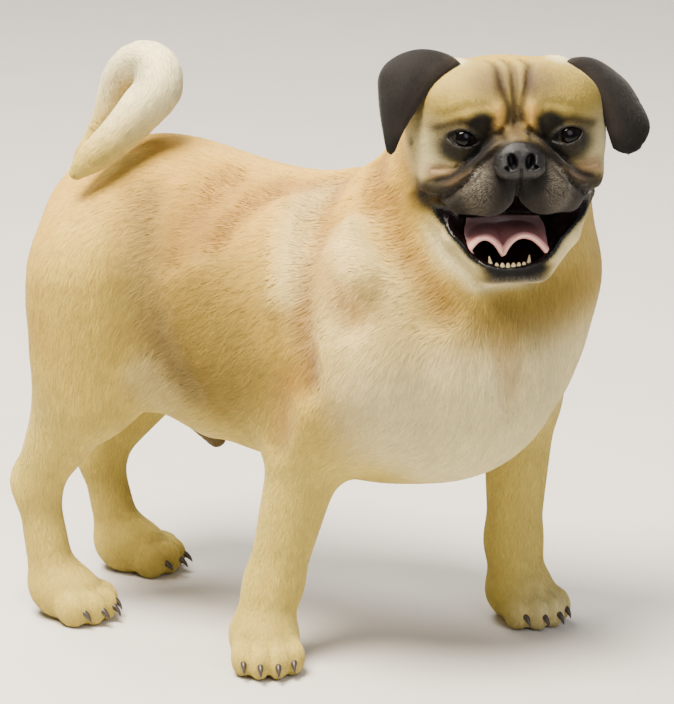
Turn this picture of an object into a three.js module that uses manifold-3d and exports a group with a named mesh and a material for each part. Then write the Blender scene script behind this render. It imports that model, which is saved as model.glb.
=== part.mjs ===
// Pug at life size, standing, with its head turned to its right, its mouth open and its tail curled.
// Lengths are millimetres, +Z is up, the dog faces -Y and +X is its left side.
// The origin lies on the ground, under the middle of the animal's overall box.

import * as THREE from 'three';
import { mergeVertices } from 'three/addons/utils/BufferGeometryUtils.js';
import Module from 'manifold-3d';

const wasm = await Module();
wasm.setup();

// Driving dimensions
const GAP = 0.3;
const SOCKET_GAP = 0.5;
const EYE_RADIUS = 11.5;
const EYE_PLACE = [31, 1, 1.5];
const LID_RADIUS = 2.6;
const MUZZLE_SWING = 3;
const NOSTRIL_RADIUS = 3;
const NOSTRIL_SPACING = 12;
const NOSTRIL_HEIGHT = -9;
const EAR_THICKNESS = 4.5;
const MOUTH_CORNER_HEIGHT = -40;
const MOUTH_SHIFT = 3;
const TONGUE = { thickness: 4.5, halfWidth: 29, length: 40, arch: 12, droop: 7 };
const TONGUE_ROOT = { back: 30, height: -48, drop: 22 };
const INCISOR = { width: 3.4, height: 10, depth: 2.7, spacing: 3.7, front: -12.5, middle: -75 };
const CANINE = { radius: 2.8, height: 16, spacing: 31, front: -10, middle: -72, splay: 8 };
const CLAW = { radius: 3, length: 14, height: 10, dip: 26 };
const TOES = [[5.5, -24], [15.5, -17]];
const TOE_RADII = [8, 12, 12];
const PAW_TOP = 38;
const SHEATH = { radius: 9, length: 36, place: [0, 52, 116], tilt: 0.2 };
const TAIL_RADII = [17, 16.5, 14.5, 13.5, 13.5, 14, 15, 16.5, 17, 16.5, 15, 13.5, 11.5, 7.5];
const TAIL_CUTS = [0.2, 0.42, 0.66, 1];

// Limbs: where each paw stands, the way its toes point, and the joints above it
const FORE_LEGS = {
  right: { side: -1, paw: [-85, -38, 0], yaw: -62, elbow: [-58, -56, 142], wrist: [-74, -38, 50] },
  left: { side: 1, paw: [62, -150, 0], yaw: -35, elbow: [74, -142, 145], wrist: [66, -142, 50] },
};
const HIND_LEGS = {
  right: { side: -1, paw: [-53, 118, 0], yaw: -12, knee: [-58, 92, 150], hock: 84 },
  left: { side: 1, paw: [46, 121, 0], yaw: 10, knee: [52, 92, 144], hock: 77 },
};

// The tail's middle line, from the croup up, over and down along the right of the rump
const TAIL_LINE = [
  [1, 116, 272],
  [4, 121, 286],
  [7, 116, 301],
  [7, 110, 321],
  [4, 104, 340],
  [-1, 93, 352],
  [-8, 78, 357],
  [-15, 67, 353],
  [-21, 64, 343],
  [-29, 70, 333],
  [-38, 78, 321],
  [-47, 87, 310],
  [-55, 95, 302],
  [-61, 101, 295],
];

// Lines on the right or left side of the head, in the head's own frame
const NOSE_WRINKLE = [[0, -25, 3], [13, -22, 1], [26, -14, -9], [37, -2, -20], [46, 12, -27]];
const LID_OPENING = [
  [20, -6.5, -1],
  [25, -10.5, 5],
  [32, -12.5, 8.5],
  [39, -9.5, 6],
  [43, -4.5, -0.5],
  [38, -8.5, -6],
  [31, -11, -7.5],
  [25, -9.5, -5.5],
];
const EARS = {
  right: {
    front: [[-31, 28, 33], [-30, 18, 44], [-43, 10, 37], [-56, 7, 22], [-66, 6, 7], [-72, 7, -6]],
    middle: [[-41, 41, 32], [-52, 30, 50], [-63, 17, 44], [-69, 9, 28], [-72, 7, 11], [-74, 7, -7]],
    back: [[-50, 53, 20], [-71, 38, 39], [-78, 26, 36], [-79, 19, 22], [-78, 13, 8], [-76, 8, -6]],
  },
  left: {
    front: [[31, 30, 33], [36, 20, 43], [44, 16, 34], [53, 13, 18], [58, 12, 3], [62, 12, -9]],
    middle: [[41, 43, 31], [53, 34, 41], [65, 30, 32], [74, 26, 18], [79, 21, 3], [72, 15, -13]],
    back: [[49, 54, 19], [61, 50, 30], [74, 44, 26], [83, 38, 12], [87, 31, 0], [81, 20, -10]],
  },
};

// Sizes of the grid cells that each form is meshed on
const BODY_CELL = [15.5, 15.5, 15.5];
const LEG_CELL = [10, 10, 15.4];
const PAW_CELL = [8.5, 8.5, 8];
const TAIL_CELL = [8.2, 8.2, 8.2];
const HEAD_CELL = [6.9, 6.9, 6.9];
const MOUTH_CELL = [6.5, 6.5, 6.5];
const NOSE_CELL = [4.6, 4.6, 4.6];

// Colours of coat, skin, horn and eye
const FAWN = 0xd8b684;
const CREAM = 0xe6d0a6;
const BLACK_COAT = 0x2a2422;
const NOSE_LEATHER = 0x151214;
const EYE_BROWN = 0x1c0f0a;
const TONGUE_PINK = 0xd98a8a;

// Frames: a place with a heading, a nod forward or back and a tilt to the side, in degrees
function frame(origin, heading = 0, nod = 0, tilt = 0) {
  const turns = new THREE.Euler(...[nod, tilt, heading].map(THREE.MathUtils.degToRad), 'ZXY');
  return new THREE.Matrix4().makeRotationFromEuler(turns).setPosition(...origin);
}

function within(place, inner) {
  return place.clone().multiply(inner);
}

function at(place, x, y, z) {
  return new THREE.Vector3(x, y, z).applyMatrix4(place).toArray();
}

const CHEST = frame([1, -89, 0], -26);
const HIPS = frame([-2, 80, 0], 6);
const HEAD = frame([-33, -179, 336], -58, -4);
const NAPE = frame(at(HEAD, 0, 58, -34), -44);
const THROAT = frame(at(HEAD, -10, 60, -92), -44);

// Forms: a form gives the distance of a point from its surface, below zero on the inside
function egg(centre, radii) {
  const [a, b, c] = radii;
  return (p) => {
    const x = p.x - centre[0];
    const y = p.y - centre[1];
    const z = p.z - centre[2];
    const reach = Math.hypot(x / a, y / b, z / c);
    const slope = Math.hypot(x / (a * a), y / (b * b), z / (c * c));
    return (reach * (reach - 1)) / (slope + 1e-9);
  };
}

function rod(from, to, radius, endRadius = radius) {
  const start = new THREE.Vector3(...from);
  const along = new THREE.Vector3(...to).sub(start);
  const length = along.lengthSq();
  const offset = new THREE.Vector3();
  return (p) => {
    offset.subVectors(p, start);
    const share = THREE.MathUtils.clamp(offset.dot(along) / length, 0, 1);
    offset.addScaledVector(along, -share);
    return offset.length() - THREE.MathUtils.lerp(radius, endRadius, share);
  };
}

function join(softness, ...forms) {
  return (p) => {
    let distance = forms[0](p);
    for (let i = 1; i < forms.length; i += 1) {
      const other = forms[i](p);
      const overlap = Math.max(softness - Math.abs(distance - other), 0) / softness;
      distance = Math.min(distance, other) - (overlap * overlap * softness) / 4;
    }
    return distance;
  };
}

function carve(softness, form, cutter) {
  return (p) => {
    const kept = form(p);
    const cut = -cutter(p);
    const overlap = Math.max(softness - Math.abs(kept - cut), 0) / softness;
    return Math.max(kept, cut) + (overlap * overlap * softness) / 4;
  };
}

function chain(softness, points, radii) {
  const rods = [];
  for (let i = 1; i < points.length; i += 1) {
    rods.push(rod(points[i - 1], points[i], radii[i - 1], radii[i]));
  }
  return join(softness, ...rods);
}

function ridge(form, points, width, height) {
  const line = chain(0.01, points, points.map(() => 0));
  return (p) => form(p) - height * Math.exp(-((line(p) / width) ** 2));
}

function placed(place, form) {
  const inverse = place.clone().invert();
  const local = new THREE.Vector3();
  return (p) => form(local.copy(p).applyMatrix4(inverse));
}

function mirrored(form) {
  const folded = new THREE.Vector3();
  return (p) => form(folded.set(Math.abs(p.x), p.y, p.z));
}

// The muzzle swings a little to the dog's right, more and more towards the nose
function swung(form) {
  const straight = new THREE.Vector3();
  return (p) => {
    const share = THREE.MathUtils.clamp((10 - p.y) / 40, 0, 1);
    return form(straight.set(p.x + MUZZLE_SWING * share, p.y, p.z));
  };
}

// Trunk: chest and pelvis turned against each other, with the barrel of the belly between them
function trunkForm() {
  const ribs = egg([0, 8, 192], [86, 100, 92]);
  const withers = egg([0, 8, 240], [54, 74, 42]);
  const breast = egg([0, -62, 184], [68, 46, 58]);
  const shoulder = egg([68, -24, 205], [34, 48, 68]);
  const chest = join(26, join(40, join(30, ribs, withers), breast), shoulder);
  const belly = egg([0, 4, 204], [82, 92, 87]);
  const pelvis = egg([0, -6, 236], [66, 70, 74]);
  const croup = egg([0, 36, 254], [44, 32, 32]);
  return join(16, join(50, placed(CHEST, mirrored(chest)), belly, placed(HIPS, pelvis)), placed(HIPS, croup));
}

function neckForm() {
  const nape = egg([0, 0, 0], [60, 44, 56]);
  const throat = egg([0, 0, 0], [80, 50, 54]);
  const crest = rod(at(HEAD, 0, 64, 2), at(CHEST, 0, 14, 238), 42, 46);
  return join(30, join(34, placed(NAPE, nape), placed(THROAT, throat)), crest);
}

// Limbs
function pawForm(paw, yaw) {
  const pad = egg([0, 0, 16], [21, 24, 19]);
  const toes = TOES.map(([across, forward]) => egg([across, forward, 11], TOE_RADII));
  return placed(frame(paw, yaw), mirrored(join(5, pad, ...toes)));
}

function foreLegForm({ side, paw, yaw, elbow, wrist }) {
  const shoulder = at(CHEST, 62 * side, -46, 195);
  const pastern = [paw[0], paw[1] + 4, 22];
  const leg = chain(12, [shoulder, elbow, wrist, pastern], [36, 27, 17, 18]);
  return join(12, leg, pawForm(paw, yaw));
}

function hindLegForm({ side, paw, yaw, knee, hock: hockHeight }) {
  const hip = at(HIPS, 42 * side, 14, 228);
  const hock = [paw[0] - 2 * side, paw[1] + 21, hockHeight];
  const ham = [hock[0], hock[1] + 2, hock[2] + 10];
  const heel = [hock[0], hock[1] + 6, hock[2] + 6];
  const thigh = placed(HIPS, egg([46 * side, 20, 204], [34, 46, 66]));
  const front = chain(16, [hip, knee, hock], [44, 24, 13]);
  const back = rod(at(HIPS, 46 * side, 34, 165), ham, 26, 9);
  const shank = rod(hock, [paw[0], paw[1] + 10, 26], 14, 15);
  const upper = join(20, join(26, thigh, front), back);
  return join(12, join(8, join(14, upper, shank), egg(heel, [8, 8, 12])), pawForm(paw, yaw));
}

// Tail: round lengths along one curve
const tailCurve = new THREE.CatmullRomCurve3(TAIL_LINE.map((point) => new THREE.Vector3(...point)));

function tailForm(from, to) {
  const steps = Math.ceil((to - from) * 24);
  const points = [];
  const radii = [];
  for (let i = 0; i <= steps; i += 1) {
    const share = THREE.MathUtils.lerp(from, to, i / steps);
    const place = share * (TAIL_RADII.length - 1);
    const step = Math.min(Math.floor(place), TAIL_RADII.length - 2);
    points.push(tailCurve.getPoint(share).toArray());
    radii.push(THREE.MathUtils.lerp(TAIL_RADII[step], TAIL_RADII[step + 1], place - step));
  }
  return chain(1, points, radii);
}

// Head: skull, brows, cheeks, muzzle with its flews, and the wrinkle over the nose
function skullForm() {
  const crown = join(10, egg([0, 38, 8], [40, 44, 37]), egg([24, 40, 6], [36, 46, 37]));
  const corner = egg([31, 31, 25], [16, 18, 19]);
  const palate = egg([0, 30, -32], [30, 26, 20]);
  const brow = egg([17, 10, 22], [36, 20, 22]);
  const cheek = egg([38, 24, -12], [20, 28, 31]);
  const browKnob = egg([24, 4, 17], [18, 11, 11]);
  const foldBulge = egg([41, 8, -24], [13, 14, 11]);
  const bridge = egg([0, -10, -10], [22, 22, 16]);
  const flew = egg([17, -12, -26], [18, 21, 18]);
  const flewEnd = egg([31, 0, -32], [12, 18, 14]);
  const upper = join(10, join(14, crown, brow, cheek), corner, palate, browKnob, foldBulge, bridge);
  const muzzle = join(8, upper, flew, flewEnd);
  const wrinkled = ridge(muzzle, NOSE_WRINKLE, 5.5, 5);
  return carve(6, wrinkled, egg([32, -10, 1], [13, 9, 9]));
}

function jawForm() {
  const side = chain(4, [[43, 28, -34], [32, 6, -58], [15, -3, -76]], [12, 9, 10]);
  const chin = egg([0, -3, -77], [18, 13, 10]);
  const floor = egg([0, 24, -60], [30, 30, 17]);
  return join(12, join(8, side, chin), floor);
}

// The hollow of the open mouth, with the flews hanging into it
function mouthForm() {
  const palate = egg([0, -4, -49], [36, 22, 15.5]);
  const front = egg([0, -11, -62], [25, 21, 12]);
  const corner = rod([18, -8, -49], [50, 8, MOUTH_CORNER_HEIGHT], 8, 5.5);
  const flews = join(8, egg([18, -13, -30], [16.5, 20, 17.5]), egg([31, -1, -34], [12, 17, 14]));
  const hanging = mirrored(carve(3, flews, egg([0, 0, -54], [34, 20, 22])));
  const shifted = (form) => placed(within(HEAD, frame([-MOUTH_SHIFT, 0, 0])), swung(mirrored(form)));
  return join(5, carve(3, shifted(join(10, palate, front)), placed(HEAD, swung(hanging))), shifted(corner));
}

function noseForm() {
  const leather = egg([0, -30, -7.5], [14, 9, 11.5]);
  const wing = egg([8, -31, -10], [6.5, 8, 7.5]);
  return placed(HEAD, swung(mirrored(join(4, leather, wing))));
}

const headForm = placed(HEAD, swung(mirrored(join(6, skullForm(), jawForm()))));

function bodyForm() {
  const foreLegs = Object.values(FORE_LEGS).map(foreLegForm);
  const hindLegs = Object.values(HIND_LEGS).map(hindLegForm);
  const legged = join(22, trunkForm(), ...foreLegs, ...hindLegs);
  return join(10, join(30, legged, neckForm()), tailForm(0, 0.29));
}

// A closed net over a form: one corner in each grid cell that the surface crosses, moved onto the surface
class NetGeometry extends THREE.BufferGeometry {
  constructor(form, box, cell, level = 0) {
    super();
    this.form = form;
    this.level = level;
    this.low = box.min.clone();
    this.cell = cell;
    const size = box.getSize(new THREE.Vector3()).divide(cell);
    this.count = [Math.ceil(size.x) + 1, Math.ceil(size.y) + 1, Math.ceil(size.z) + 1];
    this.values = this.sample();
    this.corners = [];
    this.cornerOfCell = new Map();
    const index = this.stitch();
    this.setAttribute('position', new THREE.Float32BufferAttribute(this.corners.flat(), 3));
    this.setIndex(index);
  }

  key(i, j, k) {
    return (i * this.count[1] + j) * this.count[2] + k;
  }

  point(i, j, k) {
    return new THREE.Vector3(i, j, k).multiply(this.cell).add(this.low);
  }

  sample() {
    const values = new Float64Array(this.count[0] * this.count[1] * this.count[2]);
    for (let i = 0; i < this.count[0]; i += 1) {
      for (let j = 0; j < this.count[1]; j += 1) {
        for (let k = 0; k < this.count[2]; k += 1) {
          values[this.key(i, j, k)] = this.form(this.point(i, j, k)) - this.level;
        }
      }
    }
    return values;
  }

  // Middle of the places where the cell's twelve edges cross the surface, then moved along the slope
  corner(cell) {
    const key = this.key(...cell);
    if (this.cornerOfCell.has(key)) {
      return this.cornerOfCell.get(key);
    }
    const middle = new THREE.Vector3();
    let crossings = 0;
    for (let axis = 0; axis < 3; axis += 1) {
      for (let side = 0; side < 4; side += 1) {
        const start = [...cell];
        start[(axis + 1) % 3] += side & 1;
        start[(axis + 2) % 3] += side >> 1;
        const end = [...start];
        end[axis] += 1;
        const a = this.values[this.key(...start)];
        const b = this.values[this.key(...end)];
        if (a < 0 !== b < 0) {
          middle.add(this.point(...start).lerp(this.point(...end), a / (a - b)));
          crossings += 1;
        }
      }
    }
    middle.divideScalar(crossings);
    this.settle(middle);
    this.corners.push(middle.toArray());
    this.cornerOfCell.set(key, this.corners.length - 1);
    return this.corners.length - 1;
  }

  settle(point) {
    const step = 0.5;
    const limit = Math.min(...this.cell.toArray()) / 3;
    for (let pass = 0; pass < 2; pass += 1) {
      const value = this.form(point) - this.level;
      const slope = new THREE.Vector3(
        this.form(point.clone().setX(point.x + step)),
        this.form(point.clone().setY(point.y + step)),
        this.form(point.clone().setZ(point.z + step)),
      );
      slope.subScalar(value + this.level).divideScalar(step);
      const move = slope.multiplyScalar(-value / Math.max(slope.lengthSq(), 0.2));
      point.add(move.clampLength(0, limit));
    }
  }

  stitch() {
    const index = [];
    const order = [[0, 0], [1, 0], [1, 1], [0, 1]];
    for (let axis = 0; axis < 3; axis += 1) {
      const second = (axis + 1) % 3;
      const third = (axis + 2) % 3;
      const low = [0, 0, 0];
      low[second] = 1;
      low[third] = 1;
      const high = this.count.map((count) => count - 1);
      for (let i = low[0]; i < high[0]; i += 1) {
        for (let j = low[1]; j < high[1]; j += 1) {
          for (let k = low[2]; k < high[2]; k += 1) {
            const start = [i, j, k];
            const end = [...start];
            end[axis] += 1;
            const inside = this.values[this.key(...start)] < 0;
            if (inside !== this.values[this.key(...end)] < 0) {
              const quad = order.map((shift) => {
                const cell = [...start];
                cell[second] -= shift[0];
                cell[third] -= shift[1];
                return this.corner(cell);
              });
              index.push(...this.split(inside ? quad : quad.reverse()));
            }
          }
        }
      }
    }
    return index;
  }

  // Two triangles, parted along the quad's shorter diagonal
  split([a, b, c, d]) {
    const across = (m, n) => Math.hypot(...this.corners[m].map((value, i) => value - this.corners[n][i]));
    return across(a, c) < across(b, d) ? [a, b, c, a, c, d] : [a, b, d, b, c, d];
  }
}

// A bent sheet with a thickness: rows run from root to tip and columns across, alike on both faces
class SheetGeometry extends THREE.BufferGeometry {
  constructor(surface, rows, columns, thickness) {
    super();
    const middle = [];
    for (let row = 0; row <= rows; row += 1) {
      for (let column = 0; column <= columns; column += 1) {
        middle.push(surface(row / rows, column / columns));
      }
    }
    const id = (row, column) => row * (columns + 1) + column;
    const positions = [];
    for (const side of [1, -1]) {
      for (let row = 0; row <= rows; row += 1) {
        for (let column = 0; column <= columns; column += 1) {
          const down = middle[id(Math.min(row + 1, rows), column)].clone();
          down.sub(middle[id(Math.max(row - 1, 0), column)]);
          const across = middle[id(row, Math.min(column + 1, columns))].clone();
          across.sub(middle[id(row, Math.max(column - 1, 0))]);
          const edge = Math.min(column, columns - column, rows - row) === 0 ? 0.35 : 1;
          const normal = down.cross(across).setLength((side * edge * thickness) / 2);
          positions.push(...normal.add(middle[id(row, column)]).toArray());
        }
      }
    }
    const back = (rows + 1) * (columns + 1);
    const index = [];
    for (let row = 0; row < rows; row += 1) {
      for (let column = 0; column < columns; column += 1) {
        const [a, b] = [id(row, column), id(row + 1, column)];
        const [c, d] = [b + 1, a + 1];
        index.push(a, b, c, a, c, d);
        index.push(back + a, back + c, back + b, back + a, back + d, back + c);
      }
    }
    const rim = [];
    for (let row = 0; row < rows; row += 1) {
      rim.push(id(row, 0));
    }
    for (let column = 0; column < columns; column += 1) {
      rim.push(id(rows, column));
    }
    for (let row = rows; row > 0; row -= 1) {
      rim.push(id(row, columns));
    }
    for (let column = columns; column > 0; column -= 1) {
      rim.push(id(0, column));
    }
    rim.forEach((a, i) => {
      const b = rim[(i + 1) % rim.length];
      index.push(a, back + a, back + b, a, back + b, b);
    });
    this.setAttribute('position', new THREE.Float32BufferAttribute(positions, 3));
    this.setIndex(index);
  }
}

// Solids: joining and cutting of closed meshes
function solid(geometry, place = new THREE.Matrix4()) {
  const bare = new THREE.BufferGeometry();
  bare.setAttribute('position', geometry.attributes.position.clone());
  bare.setIndex(geometry.index);
  const merged = mergeVertices(bare.applyMatrix4(place), 1e-4);
  const index = [];
  for (let i = 0; i < merged.index.count; i += 3) {
    const [a, b, c] = [merged.index.getX(i), merged.index.getX(i + 1), merged.index.getX(i + 2)];
    if (a !== b && b !== c && c !== a) {
      index.push(a, b, c);
    }
  }
  const vertProperties = Float32Array.from(merged.attributes.position.array);
  const triVerts = Uint32Array.from(index);
  return new wasm.Manifold(new wasm.Mesh({ numProp: 3, vertProperties, triVerts }));
}

function bySize(shape) {
  return shape.decompose().sort((a, b) => b.volume() - a.volume());
}

function grown({ place, low, high }, growth = GAP) {
  return { place, low: low.map((value) => value - growth), high: high.map((value) => value + growth) };
}

function block({ place, low, high }) {
  const size = high.map((value, i) => value - low[i]);
  const middle = high.map((value, i) => (value + low[i]) / 2);
  return solid(new THREE.BoxGeometry(...size).translate(...middle), place);
}

function net(form, box, cell, level = 0) {
  return solid(new NetGeometry(form, box, new THREE.Vector3(...cell), level));
}

function boxAround({ place, low, high }, room) {
  const box = new THREE.Box3(new THREE.Vector3(...low), new THREE.Vector3(...high));
  return box.applyMatrix4(place).expandByScalar(room);
}

// The part of a form inside a block: closed a little outside the block, then cut flat on its faces.
// Form and block both grow by the same small amount, on the same grid, to make a socket with a gap
function inside(form, region, cell, growth = 0) {
  const room = Math.max(...cell);
  const middle = region.high.map((value, i) => (value + region.low[i]) / 2);
  const half = region.high.map((value, i) => (value - region.low[i]) / 2 + room);
  const walls = placed(region.place, (p) => Math.max(
    Math.abs(p.x - middle[0]) - half[0],
    Math.abs(p.y - middle[1]) - half[1],
    Math.abs(p.z - middle[2]) - half[2],
  ));
  const closed = (p) => Math.max(form(p), walls(p));
  return net(closed, boxAround(region, 2.5 * room), cell, growth).intersect(block(grown(region, growth)));
}

// Regions that part the body where its named pieces meet
const WHOLE = { place: frame([0, 0, 0]), low: [-140, -250, -20], high: [140, 190, 400] };
const NECK_REGION = {
  place: within(CHEST, frame([0, 10, 300], 0, 38)),
  low: [-130, -190, 0],
  high: [130, 110, 190],
};
const HEAD_REGION = {
  place: within(HEAD, frame([0, 47, 0], 0, -27)),
  low: [-90, -110, -110],
  high: [90, 0, 70],
};
const JAW_SLIT = {
  place: HEAD,
  low: [-75, 1, MOUTH_CORNER_HEIGHT - GAP / 2],
  high: [75, 75, MOUTH_CORNER_HEIGHT + GAP / 2],
};

function forePlace({ side, elbow }) {
  const local = new THREE.Vector3(...elbow).applyMatrix4(CHEST.clone().invert());
  return within(CHEST, frame([40 * side, local.y, 108], 0, 0, -44 * side));
}

function hindPlace({ side }) {
  return within(HIPS, frame([25 * side, 0, 120], 0, 0, -61 * side));
}

const foreRegion = (leg) => ({ place: forePlace(leg), low: [-110, -60, -170], high: [110, 40, 0] });
const hindRegion = (leg) => ({ place: hindPlace(leg), low: [-140, -50, -140], high: [140, 100, 0] });
const pawRegion = ({ paw }) => ({ place: frame(paw), low: [-50, -50, 0], high: [50, 50, PAW_TOP] });

const MOUTH_REGION = { place: HEAD, low: [-56, -44, -82], high: [56, 40, -26] };
const NOSE_REGION = { place: HEAD, low: [-20, -44, -26], high: [20, -16, 10] };

const flesh = bodyForm();
const body = inside(flesh, WHOLE, BODY_CELL);
const headSocket = inside(headForm, HEAD_REGION, HEAD_CELL, SOCKET_GAP);

const dog = new THREE.Group();

function part(name, shape, color, roughness = 0.9) {
  const mesh = bySize(shape)[0].getMesh();
  const geometry = new THREE.BufferGeometry();
  geometry.setAttribute('position', new THREE.Float32BufferAttribute(mesh.vertProperties, 3));
  geometry.setIndex(Array.from(mesh.triVerts));
  geometry.computeVertexNormals();
  const node = new THREE.Mesh(geometry, new THREE.MeshStandardMaterial({ color, roughness }));
  node.name = name;
  dog.add(node);
}

// Torso, neck and tail
function tailRegion(share, low, high) {
  const upright = new THREE.Vector3(0, 0, 1);
  const turn = new THREE.Quaternion().setFromUnitVectors(upright, tailCurve.getTangent(share));
  const place = new THREE.Matrix4().makeRotationFromQuaternion(turn).setPosition(tailCurve.getPoint(share));
  return { place, low: [-26, -26, low], high: [26, 26, high] };
}

function torso() {
  const sheath = new THREE.CapsuleGeometry(SHEATH.radius, SHEATH.length, 3, 8).rotateX(SHEATH.tilt);
  let shape = body.add(solid(sheath, frame(SHEATH.place))).subtract(headSocket);
  const legs = [...Object.values(FORE_LEGS).map(foreRegion), ...Object.values(HIND_LEGS).map(hindRegion)];
  for (const region of [NECK_REGION, ...legs]) {
    shape = shape.subtract(block(grown(region)));
  }
  return shape.subtract(block(tailRegion(TAIL_CUTS[0], -GAP / 2, 60)));
}

function tailLength(from, to) {
  const form = tailForm(Math.max(from - 0.08, 0), Math.min(to + 0.08, 1));
  const around = new THREE.Box3();
  for (let share = from; share <= to; share += (to - from) / 8) {
    around.expandByPoint(tailCurve.getPoint(share));
  }
  let shape = net(form, around.expandByScalar(54), TAIL_CELL);
  shape = shape.subtract(block(tailRegion(from, -60, GAP / 2)));
  return to < 1 ? shape.subtract(block(tailRegion(to, -GAP / 2, 60))) : shape;
}

part('torso', torso(), FAWN);
part('neck', body.intersect(block(NECK_REGION)).subtract(headSocket), FAWN);
['tail_root', 'tail_curl', 'tail_tip'].forEach((name, i) => {
  part(name, tailLength(TAIL_CUTS[i], TAIL_CUTS[i + 1]), CREAM);
});

// Legs and paws, with four claws on each paw
function clawed(shape, paw, yaw) {
  const tilt = THREE.MathUtils.degToRad(90 - CLAW.dip);
  const cone = new THREE.ConeGeometry(CLAW.radius, CLAW.length, 6).rotateX(Math.PI - tilt);
  let whole = shape;
  for (const [across, forward] of TOES) {
    for (const side of [-1, 1]) {
      const tip = cone.clone().translate(across * side, forward - 9, CLAW.height);
      whole = whole.add(solid(tip, frame(paw, yaw)));
    }
  }
  return whole;
}

for (const [side, leg] of Object.entries(FORE_LEGS)) {
  const upper = inside(flesh, foreRegion(leg), LEG_CELL).subtract(block(grown(pawRegion(leg))));
  part(`fore_leg_${side}`, upper, CREAM);
  part(`fore_paw_${side}`, clawed(inside(flesh, pawRegion(leg), PAW_CELL), leg.paw, leg.yaw), CREAM);
}

for (const [side, leg] of Object.entries(HIND_LEGS)) {
  const upper = inside(flesh, hindRegion(leg), LEG_CELL).subtract(block(grown(pawRegion(leg))));
  part(`hind_leg_${side}`, upper, FAWN);
  part(`hind_paw_${side}`, clawed(inside(flesh, pawRegion(leg), PAW_CELL), leg.paw, leg.yaw), CREAM);
}

// Head: the skull carries lids, brows and muzzle; the lower jaw is parted from it by a thin slit
function lidRing(side) {
  const points = LID_OPENING.map(([x, y, z]) => new THREE.Vector3(x * side, y, z));
  const line = new THREE.CatmullRomCurve3(points, true);
  return solid(new THREE.TubeGeometry(line, 16, LID_RADIUS, 5, true), HEAD);
}

function eyeball(side, growth = 0) {
  const [x, y, z] = EYE_PLACE;
  const ball = new THREE.SphereGeometry(EYE_RADIUS + growth, 14, 10).translate(x * side, y, z);
  return solid(ball, HEAD);
}

const mouthHollow = inside(mouthForm(), MOUTH_REGION, MOUTH_CELL);
const noseHollow = inside(noseForm(), NOSE_REGION, NOSE_CELL, GAP);

function headAndJaw() {
  let whole = inside(headForm, HEAD_REGION, HEAD_CELL);
  for (const side of [-1, 1]) {
    whole = whole.add(lidRing(side)).subtract(eyeball(side, GAP));
  }
  whole = whole.subtract(mouthHollow).subtract(noseHollow).subtract(block(JAW_SLIT));
  return bySize(whole);
}

// Lower teeth: six incisors in a gentle arc between two canines, rooted in the jaw
function toothed(jaw) {
  let whole = jaw;
  const incisor = new THREE.CapsuleGeometry(INCISOR.width / 2, INCISOR.height - INCISOR.width, 2, 6);
  incisor.rotateX(Math.PI / 2).scale(1, INCISOR.depth / INCISOR.width, 1);
  for (let i = -2.5; i <= 2.5; i += 1) {
    const across = i * INCISOR.spacing;
    const place = frame([across - MUZZLE_SWING, INCISOR.front + 0.02 * across * across, INCISOR.middle]);
    whole = whole.add(solid(incisor, within(HEAD, place)));
  }
  const canine = new THREE.ConeGeometry(CANINE.radius, CANINE.height, 8).rotateX(Math.PI / 2);
  for (const side of [-1, 1]) {
    const root = [(CANINE.spacing / 2) * side - MUZZLE_SWING, CANINE.front, CANINE.middle];
    whole = whole.add(solid(canine, within(HEAD, frame(root, 0, 0, CANINE.splay * side))));
  }
  return whole;
}

// Tongue: a broad sheet that lies in the jaw and lifts into two arches at its front rim
function tonguePoint(along, across) {
  const offset = 2 * across - 1;
  const arch = TONGUE.arch * along * along * Math.sin(Math.PI * Math.abs(offset)) ** 2;
  const droop = TONGUE.droop * along * offset ** 4;
  return new THREE.Vector3(
    TONGUE.halfWidth * offset - MUZZLE_SWING - MOUTH_SHIFT,
    TONGUE_ROOT.back - TONGUE.length * along,
    TONGUE_ROOT.height - TONGUE_ROOT.drop * along + arch - droop,
  );
}

function tongue() {
  const sheet = solid(new SheetGeometry(tonguePoint, 6, 12, TONGUE.thickness), HEAD);
  return sheet.intersect(inside(mouthForm(), MOUTH_REGION, MOUTH_CELL, -GAP));
}

// Nose leather with two nostrils, each a round hole that trails off to the side
function nostril(side) {
  const across = (NOSTRIL_SPACING / 2) * side - MUZZLE_SWING;
  const hole = new THREE.SphereGeometry(NOSTRIL_RADIUS, 8, 6).scale(1, 2, 1.1);
  const slit = new THREE.SphereGeometry(1.3, 6, 5).scale(3.6, 3.4, 1).rotateY(0.5 * side);
  hole.translate(across, -38, NOSTRIL_HEIGHT);
  slit.translate(across + 4 * side, -36, NOSTRIL_HEIGHT - 2.5);
  return solid(hole, HEAD).add(solid(slit, HEAD));
}

function nose() {
  const leather = inside(noseForm(), NOSE_REGION, NOSE_CELL);
  return leather.subtract(nostril(-1)).subtract(nostril(1));
}

// Ears: folded flaps, each between a front edge, a middle line and a back edge from root to tip
function ear({ front, middle, back }) {
  const [first, second, third] = [front, middle, back].map(
    (line) => new THREE.CatmullRomCurve3(line.map((point) => new THREE.Vector3(...point))),
  );
  const surface = (along, across) => {
    const near = first.getPoint(along).multiplyScalar((1 - across) * (1 - 2 * across));
    const centre = second.getPoint(along).multiplyScalar(4 * across * (1 - across));
    return near.add(centre).add(third.getPoint(along).multiplyScalar(across * (2 * across - 1)));
  };
  return solid(new SheetGeometry(surface, 10, 5, EAR_THICKNESS), HEAD).subtract(headSocket);
}

const [skull, jaw] = headAndJaw();
part('head', skull, FAWN);
part('jaw', toothed(jaw), FAWN);
part('tongue', tongue(), TONGUE_PINK, 0.35);
part('nose', nose(), NOSE_LEATHER, 0.4);
part('eye_right', eyeball(-1), EYE_BROWN, 0.08);
part('eye_left', eyeball(1), EYE_BROWN, 0.08);
for (const [side, lines] of Object.entries(EARS)) {
  part(`ear_${side}`, ear(lines), BLACK_COAT);
}

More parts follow.
